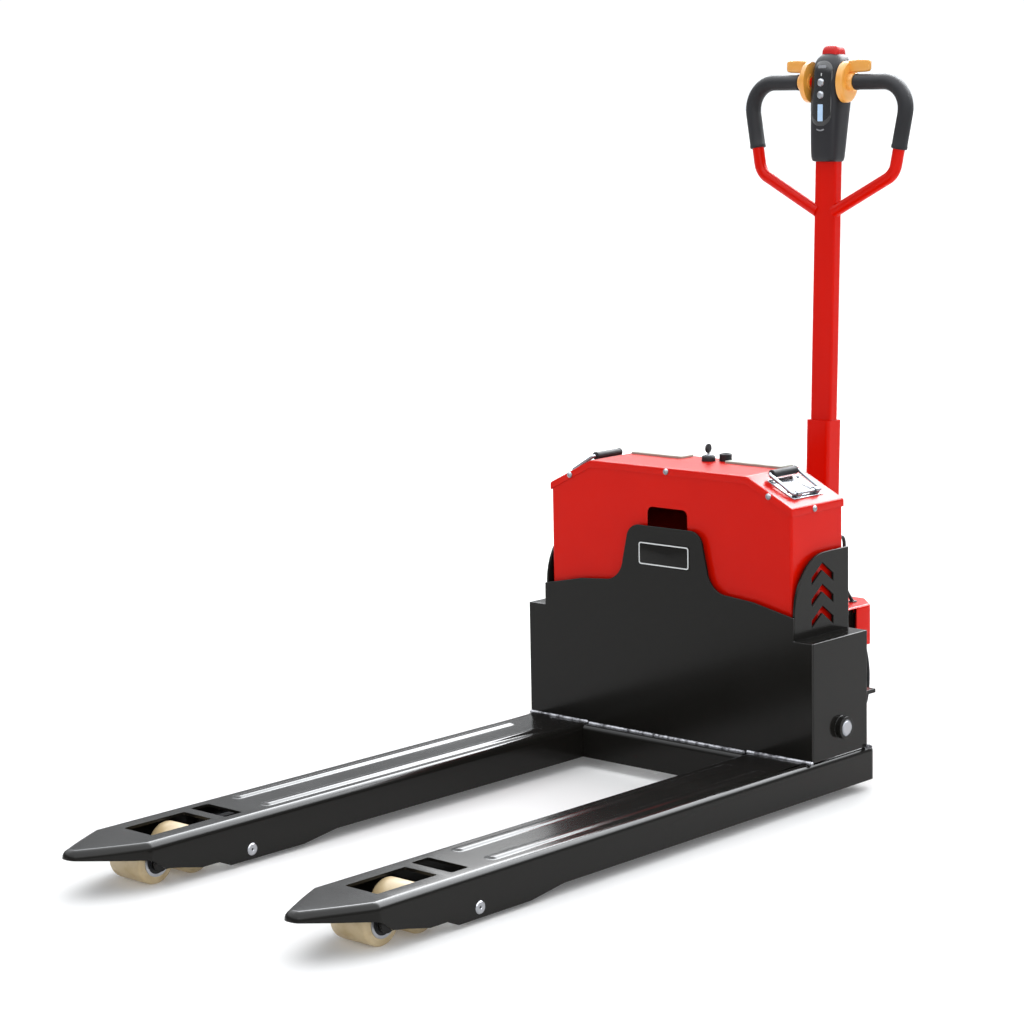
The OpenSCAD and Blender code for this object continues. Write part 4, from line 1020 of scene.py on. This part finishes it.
rubber = moulded("black_rubber", rgb(27, 27, 30), 0.5, 0.0009, 0.00012)
slope = math.atan((lid_high.z - slope_low) / (lid_half - flat_half))
handle_mid = Vector(((lid_half + flat_half) / 2, front_y + 0.090, (lid_high.z + slope_low) / 2))
bail_hinge, bail_rise, bail_half, bail_r = 0.026, 0.007, 0.042, 0.0035
grip_x, grip_rise, grip_half = bail_hinge - 0.062, bail_rise + 0.005, bail_half - 0.006


def on_slope(s, x, y, z):
    """A point on the lid's slope at side s: x runs down it, y along the truck, and z stands out of it."""
    return Vector((s * (handle_mid.x + x * math.cos(slope) + z * math.sin(slope)), handle_mid.y + y,
                   handle_mid.z - x * math.sin(slope) + z * math.cos(slope)))


for s, hand in ((-1, "left"), (1, "right")):
    corners = [on_slope(s, x, y, z) for x, y, z in (
        (bail_hinge, -bail_half + 0.008, bail_rise), (bail_hinge, -bail_half, bail_rise),
        (grip_x, -bail_half, grip_rise), (grip_x, bail_half, grip_rise),
        (bail_hinge, bail_half, bail_rise), (bail_hinge, bail_half - 0.008, bail_rise))]
    bm = bmesh.new()
    wire = rounded_path(corners, 0.0045)
    swept(bm, wire, [bail_r] * len(wire), 0, 16)
    axle = [on_slope(s, bail_hinge, y, bail_rise) for y in (-bail_half + 0.004, bail_half - 0.004)]
    swept(bm, axle, [bail_r - 0.0003] * 2, 0, 16)
    marks = [(-1, 0.0060), (-0.985, 0.0078), (-0.94, 0.0080), (-0.93, 0.0074), (0.93, 0.0074), (0.94, 0.0080),
             (0.985, 0.0078), (1, 0.0060)]
    grip = [on_slope(s, grip_x, grip_half * share, grip_rise) for share, _ in marks]
    swept(bm, grip, [radius for _, radius in marks], 1, 24)
    bail = finished(bm, "lid_handle_" + hand + "_bail", chrome, rubber)
    fit(bail, "handle_" + hand[0], "chrome", "lid_handle_" + hand)

bm = bmesh.new()
rivets = []
knuckle_y, knuckle_z, plate_top = 0.028, 0.0062, 0.002
for s in (-1, 1):
    slab(bm, rounded_box(0.034, 0.046, 0.005), 0, plate_top, lambda u, v, h: on_slope(s, u, v, h), 0, 0.0008)
    for y in (-knuckle_y, knuckle_y):
        slab(bm, rounded_box(0.006, 0.0045, 0.0044), y - 0.006, y + 0.006,
             lambda u, v, h: on_slope(s, bail_hinge + u, h, knuckle_z + v * 1.35), 0, 0.0006)
    facing = on_slope(s, 0, 0, 1) - on_slope(s, 0, 0, 0)
    rivets += [(on_slope(s, x, y, plate_top), facing) for x in (-0.026, 0.012) for y in (-0.038, 0.038)]
fit(finished(bm, "handle_bases_plated", chrome), "power_unit", "bright_steel", "handle_bases")
rivet = screw_head("rivet", 0.0036, 0.0020)
fit(scatter("handle_rivets", rivets, rivet, zinc), "power_unit", "bright_steel")
bpy.data.objects.remove(rivet)


# ---- Casters ----
# Two casters, one at each side of the drive wheel: zinc-plated forks that swivel under the
# chassis, each with a moulded nylon wheel.
caster_tread = moulded("caster_nylon", rgb(206, 190, 160), 0.45, 0.002, 0.00006)
for hand in ("left", "right"):
    worn("caster_fork_" + hand, "pressed", "caster_" + hand[0], "bright_steel", zinc, 0.0010)
    worn("caster_wheel_" + hand, "moulded", "caster_wheel_" + hand[0], "nylon", caster_tread, 0.0015, 30)


# ---- Steering head and drive wheel ----
# The drive bracket and motor in black, the yoke that holds the tiller in red, and a rubber
# tyred wheel on a cast hub.
worn("drive_bracket", "welded", "steering_head", "black_paint", black_paint, 0.0015)
worn("drive_motor", "finned", "steering_head", "dark_plastic", motor_black, 0.0015)
worn("tiller_yoke", "painted", "steering_head", "red_paint", red_paint, 0.0015)
yoke_pin = (steer_axis[0] + steer_axis[1]) / 2
bm = bmesh.new()
turned(bm, round_bar((steer_axis[1].z - steer_axis[0].z) / 2, steer_axis[1].x - steer_axis[0].x, 0.0012),
       (steer_axis[0].x, yoke_pin.y, yoke_pin.z), (1, 0, 0))
fit(finished(bm, "tiller_pin_turned", steel), "steering_head", "bright_steel", "tiller_pin")
worn("drive_hub", "cast", "drive_wheel", "aluminium", casting, 0.0015)
tyre_low, tyre_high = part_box("drive_tyre")
tyre_mid = (tyre_low + tyre_high) / 2
tyre_r, tyre_w = (tyre_high.z - tyre_low.z) / 2, (tyre_high.x - tyre_low.x) / 2
groove_x, groove_r = 0.012, tyre_r - 0.003
tread_line = [(tyre_r - 0.025, -tyre_w), (tyre_r - 0.008, -tyre_w), (groove_r, -tyre_w + 0.002),
              (tyre_r, -tyre_w + 0.007)]
tread_edge = [(r, -x) for r, x in reversed(tread_line)]
for x in (-groove_x, groove_x):
    tread_line += [(tyre_r, x - 0.0018), (groove_r, x - 0.0012), (groove_r, x + 0.0012), (tyre_r, x + 0.0018)]
tread_line += tread_edge
bm = bmesh.new()
turned(bm, tread_line, tyre_mid, (1, 0, 0), 0, 96)
tyre_rubber = moulded("tyre_rubber", rgb(36, 36, 38), 0.6, 0.004, 0.0002)
fit(finished(bm, "drive_tyre_moulded", tyre_rubber), "drive_wheel", "tyre", "drive_tyre")


# ---- Motor cable ----
# The motor's lead: a black harness held at both ends, down through the hood, under the motor
# and into it, with a rubber grommet where it passes the hood.
# the points are in millimetres, with Y counted from the steering axis
route = [(32, 16, 400), (32, 24, 400), (31, 31, 394), (28, 37, 378), (20, 42, 350), (17, 45, 324),
         (19, 49, 298), (25, 57, 276), (30, 63, 262), (38, 66, 240), (50, 64, 215), (59, 60, 192),
         (62, 61, 170), (65, 64, 145), (66, 66, 115), (66, 64, 85), (65, 59, 62), (63, 52, 51),
         (62, 45, 50), (62, 38, 58), (62, 32, 74), (62, 27, 92), (61, 23, 103), (59, 22, 106), (56, 22, 106)]
cable_r = 0.0035


def smoothed(points, steps=4):
    """Points on a smooth curve through the given ones."""
    ends = [points[0] * 2 - points[1]] + points + [points[-1] * 2 - points[-2]]
    path = []
    for a, b, c, d in zip(ends, ends[1:], ends[2:], ends[3:]):
        for k in range(steps):
            t = k / steps
            path.append(0.5 * ((2 * b) + (c - a) * t + (2 * a - 5 * b + 4 * c - d) * t * t
                               + (3 * b - a - 3 * c + d) * t * t * t))
    return path + [points[-1]]


bm = bmesh.new()
lead = smoothed([Vector((x / 1000, steer_y + y / 1000, z / 1000)) for x, y, z in route])
swept(bm, lead, [cable_r] * len(lead), 0, 14, (1, 0.3, 0))
turned(bm, [(0.0036, -0.002), (0.0058, -0.002), (0.0058, 0.002), (0.0082, 0.0022), (0.0082, 0.0042),
            (0.0036, 0.0046)], (cable_x, cable_y, hood_high.z - 0.002), up)
fit(finished(bm, "motor_cable_lead", rubber), "steering_head", "rubber", "motor_cable")


# ---- Tiller ----
# A rectangular steel tube in a socket that folds down on the yoke, with a bent handle loop
# welded on at each side, all in red paint.
lean = math.radians(2)
pivot = Vector((0, yoke_pin.y, yoke_pin.z))


def tilted(x, y, z):
    """A point drawn on the upright tiller, as it stands leaned back about its pin."""
    return Vector((x, pivot.y + y * math.cos(lean) + (z - pivot.z) * math.sin(lean),
                   pivot.z - y * math.sin(lean) + (z - pivot.z) * math.cos(lean)))


worn("tiller_boot", "painted", "tiller", "red_paint", red_paint, 0.0025)
worn("tiller_tube", "painted", "tiller", "red_paint", red_paint, 0.0010)
grip_z, loop_y, loop_r = 1.299, -0.006, 0.0118
loop_corner, loop_low, loop_foot = (0.194, grip_z), (0.161, grip_z - 0.177), (0.0, grip_z - 0.262)
upper_bend, lower_bend, foot_gap = 0.052, 0.038, 0.022
bm = bmesh.new()
for s in (-1, 1):
    corners = [tilted(s * x, loop_y, z) for x, z in ((0.030, grip_z), loop_corner, loop_low)]
    foot = Vector(loop_foot) + (Vector(loop_low) - Vector(loop_foot)).normalized() * foot_gap
    corners.append(tilted(s * foot.x, loop_y, foot.y))
    upper = rounded_path(corners[:3], upper_bend, 14)
    lower = rounded_path(corners[1:], lower_bend, 12)
    path = upper[:-1] + lower[1:]
    swept(bm, path, [loop_r] * len(path), 0, 28, tilted(0, 1, 0) - tilted(0, 0, 0))
fit(finished(bm, "handle_loops_bent", red_paint), "tiller", "red_paint", "handle_loops")


# ---- Handle grips ----
# Rubber sleeves pulled over the top run and the outer corner of each loop, a little thicker
# at each end.
grip_run, grip_r = 0.068, 0.0152
bm = bmesh.new()
for s in (-1, 1):
    corners = [tilted(s * x, loop_y, z) for x, z in ((0.066, grip_z), loop_corner, loop_low)]
    line = rounded_path(corners, upper_bend, 20)
    down = (line[-1] - line[-2]).normalized()
    last = line[-2] + down * grip_run
    line = line[:-1] + [line[-2] + down * grip_run / 2, last]
    inward = (line[1] - line[0]).normalized()
    collar = (0, 0.0012, 0.006, 0.008)
    line = ([line[0] + inward * along for along in collar] + line[1:-1]
            + [last - down * along for along in reversed(collar)])
    lips = [0.0146, 0.0158, 0.0158, grip_r]
    radii = lips + [grip_r] * (len(line) - 8) + lips[::-1]
    swept(bm, line, radii, 0, 32, tilted(0, 1, 0) - tilted(0, 0, 0))
fit(finished(bm, "handle_grips_sleeved", rubber, sharp=50), "tiller", "rubber", "handle_grips")


# ---- Tiller head ----
# A moulded housing over the top of the tube: broad and domed above, drawn in below, with a
# nearly flat front.
def ring_of(z, half_w, front, back, power, count=64):
    """A closed ring round the head at height z, squarer as power grows."""
    mid, deep = (front + back) / 2, (back - front) / 2
    ring = []
    for k in range(count):
        t = math.tau * k / count
        c, s = math.cos(t), math.sin(t)
        x = half_w * math.copysign(abs(c) ** (2 / power), c)
        y = mid + deep * math.copysign(abs(s) ** (2 / power), s)
        ring.append(tilted(x, y, z))
    return ring


# each level: height, half width, front, back and squareness
levels = [(1.1445, 0.0255, -0.0215, 0.0175, 4), (1.1455, 0.0275, -0.0240, 0.0190, 4),
          (1.1490, 0.0295, -0.0262, 0.0208, 4), (1.1580, 0.0308, -0.0278, 0.0222, 3.8),
          (1.1900, 0.0322, -0.0290, 0.0262, 3.6), (1.2250, 0.0336, -0.0298, 0.0312, 3.4),
          (1.2600, 0.0350, -0.0302, 0.0366, 3.2), (1.2900, 0.0360, -0.0300, 0.0400, 3.0),
          (1.3120, 0.0356, -0.0288, 0.0408, 2.9), (1.3280, 0.0338, -0.0262, 0.0398, 2.8),
          (1.3400, 0.0306, -0.0220, 0.0376, 2.7), (1.3480, 0.0264, -0.0168, 0.0344, 2.6),
          (1.3535, 0.0208, -0.0102, 0.0296, 2.5), (1.3560, 0.0140, -0.0022, 0.0232, 2.4)]
head_plastic = moulded("head_plastic", rgb(29, 29, 33), 0.34, 0.0010, 0.00008)
bm = bmesh.new()
loft(bm, [[bm.verts.new(p) for p in ring_of(*level)] for level in levels])
shell = finished(bm, "head_shell_moulded", head_plastic, sharp=60)
soften = shell.modifiers.new("soften", "SUBSURF")
soften.levels = soften.render_levels = 1
fit(settle(shell), "tiller", "dark_plastic", "head_shell")


# ---- Display, buttons and throttle ----
# A glossy black panel let into the head's front with a battery gauge and two silver buttons,
# the amber throttle wings at the sides, and the red safety button on top.
gloss_black = moulded("gloss_black", rgb(14, 14, 17), 0.12, 0.004, 0.00001, 0.8)
# the gauge window's faint emission is a painted glow standing in for light on its glass, not a lamp
gauge_glass = Finish("gauge_glass", Base_Color=rgb(178, 206, 232), Roughness=0.12, Coat_Weight=0.6,
                     Emission_Color=rgb(150, 190, 230), Emission_Strength=0.15)
gauge_glass.colour(gauge_glass.mix(gauge_glass.noise(0.01), rgb(186, 212, 236), rgb(160, 192, 224)))
printed_grey = moulded("printed_grey", rgb(140, 142, 146), 0.4)
front = -0.0300


def on_front(u, v, height):
    return tilted(u, front - height, v)


def on_skin(u, v, height):
    """A point at height over the head's curved front."""
    for lower, upper in zip(levels, levels[1:]):
        if v <= upper[0]:
            break
    share = min(max((v - lower[0]) / (upper[0] - lower[0]), 0), 1)
    half_w, fore, aft, power = (a + (b - a) * share for a, b in zip(lower[1:], upper[1:]))
    bulge = (1 - min(abs(u) / half_w, 0.99) ** power) ** (1 / power)
    return tilted(u, (fore + aft) / 2 - (aft - fore) / 2 * bulge - height, v)


def inlay(bm, outline, height, index):
    """A thin closed piece that follows the head's front, with its outline drawn in X and Z."""
    across, up_to = (sum(c) / len(outline) for c in zip(*outline))
    stages = [(1, -0.003), (1, height - 0.0004)]
    stages += [(scale, height) for scale in (0.985, 0.85, 0.65, 0.45, 0.25, 0.08)]
    rows = []
    for scale, rise in stages:
        spread = [(across + (u - across) * scale, up_to + (v - up_to) * scale) for u, v in outline]
        rows.append([bm.verts.new(on_skin(u, v, rise)) for u, v in spread])
    loft(bm, rows, index)


def ellipse(width, tall, steps):
    turns = [math.tau * k / steps for k in range(steps)]
    return [(width * math.cos(t), tall * math.sin(t)) for t in turns]


bm = bmesh.new()
for half_w, half_h, corner, steps, up_to, height, index in (
        (0.0235, 0.0630, 0.0210, 9, 1.2770, 0.0010, 0), (0.0060, 0.0165, 0.0010, 5, 1.2395, 0.0018, 1),
        (0.0008, 0.0030, 0.0007, 5, 1.3135, 0.0015, 2), (0.0100, 0.0030, 0.0028, 5, 1.3285, 0.0016, 3)):
    inlay(bm, shifted(rounded_box(half_w, half_h, corner, steps), 0, up_to), height, index)
smile = arc((0, 1.2225), 0.0185, 240, 300, 10) + arc((0, 1.2240), 0.0175, 298, 242, 10)
inlay(bm, smile, 0.0012, 3)
fit(finished(bm, "display_panel_glossy", gloss_black, gauge_glass.material, pale_line.material, printed_grey),
    "tiller", "plate", "display_panel")
crown = [(0, 0.0052), (0.0040, 0.0049), (0.0064, 0.0040), (0.0077, 0.0022), (0.0080, 0), (0.0080, -0.004),
         (0, -0.004)]
for name, z in (("raise", grip_z - 0.001), ("lower", grip_z - 0.025)):
    bm = bmesh.new()
    turned(bm, crown, on_front(0, z, 0), on_front(0, z, 1) - on_front(0, z, 0))
    fit(finished(bm, name + "_button_silvered", zinc), name + "_key", "bright_steel", name + "_button")


def amber_plastic():
    finish = Finish("amber_plastic", Coat_Weight=0.5, Coat_Roughness=0.1)
    warm = finish.noise(0.03)
    finish.colour(finish.mix(warm, rgb(240, 178, 84), rgb(226, 150, 48)))
    finish.roughness(0.30 + 0.1 * warm)
    finish.relief(finish.noise(0.003), 0.00004)
    return finish.material


amber = amber_plastic()
hub_x, hub_t, boss_w, boss_h, wing_z = 0.0385, 0.014, 0.0165, 0.0175, 0.0290
bm = bmesh.new()
for s in (-1, 1):
    def at_side(u, v, h, s=s):
        return tilted(s * (hub_x + h), loop_y + u, grip_z + v)

    slab(bm, ellipse(0.030, 0.040, 48), 0, hub_t, at_side, 0, 0.006)
    slab(bm, ellipse(boss_w, boss_h, 48), hub_t - 0.002, 0.0270, at_side, 0, 0.003)
    slab(bm, ellipse(boss_w, boss_h, 48), -0.0018, 0.002, at_side)
    wing = rounded_box(0.0040, 0.0120, 0.0038)
    rows = []
    for reach, grown, rise in ((0.004, 0.9, 0.0), (0.016, 1.0, 0.001), (0.034, 1.05, 0.002),
                               (0.052, 1.0, 0.002), (0.059, 0.9, 0.002), (0.061, 0.7, 0.002)):
        rows.append([bm.verts.new(at_side(u * grown, wing_z + rise + v * grown, reach)) for u, v in wing])
    loft(bm, rows)
fit(finished(bm, "throttle_wings_moulded", amber, sharp=50), "throttle", "amber", "throttle_wings")

bm = bmesh.new()
belly_y, belly_w, belly_d, belly_corner = 0.010, 0.020, 0.018, 0.010
rows = []
for z, grown in ((1.340, 1.0), (1.352, 1.0), (1.360, 0.96), (1.3655, 0.86), (1.3690, 0.68), (1.3705, 0.42),
                 (1.3712, 0.12)):
    outline = rounded_box(belly_w * grown, belly_d * grown, belly_corner * grown, 8)
    rows.append([bm.verts.new(tilted(u, belly_y + v, z)) for u, v in outline])
loft(bm, rows)
fit(finished(bm, "belly_button_moulded", red_plastic, sharp=60), "belly", "red_plastic", "belly_button")
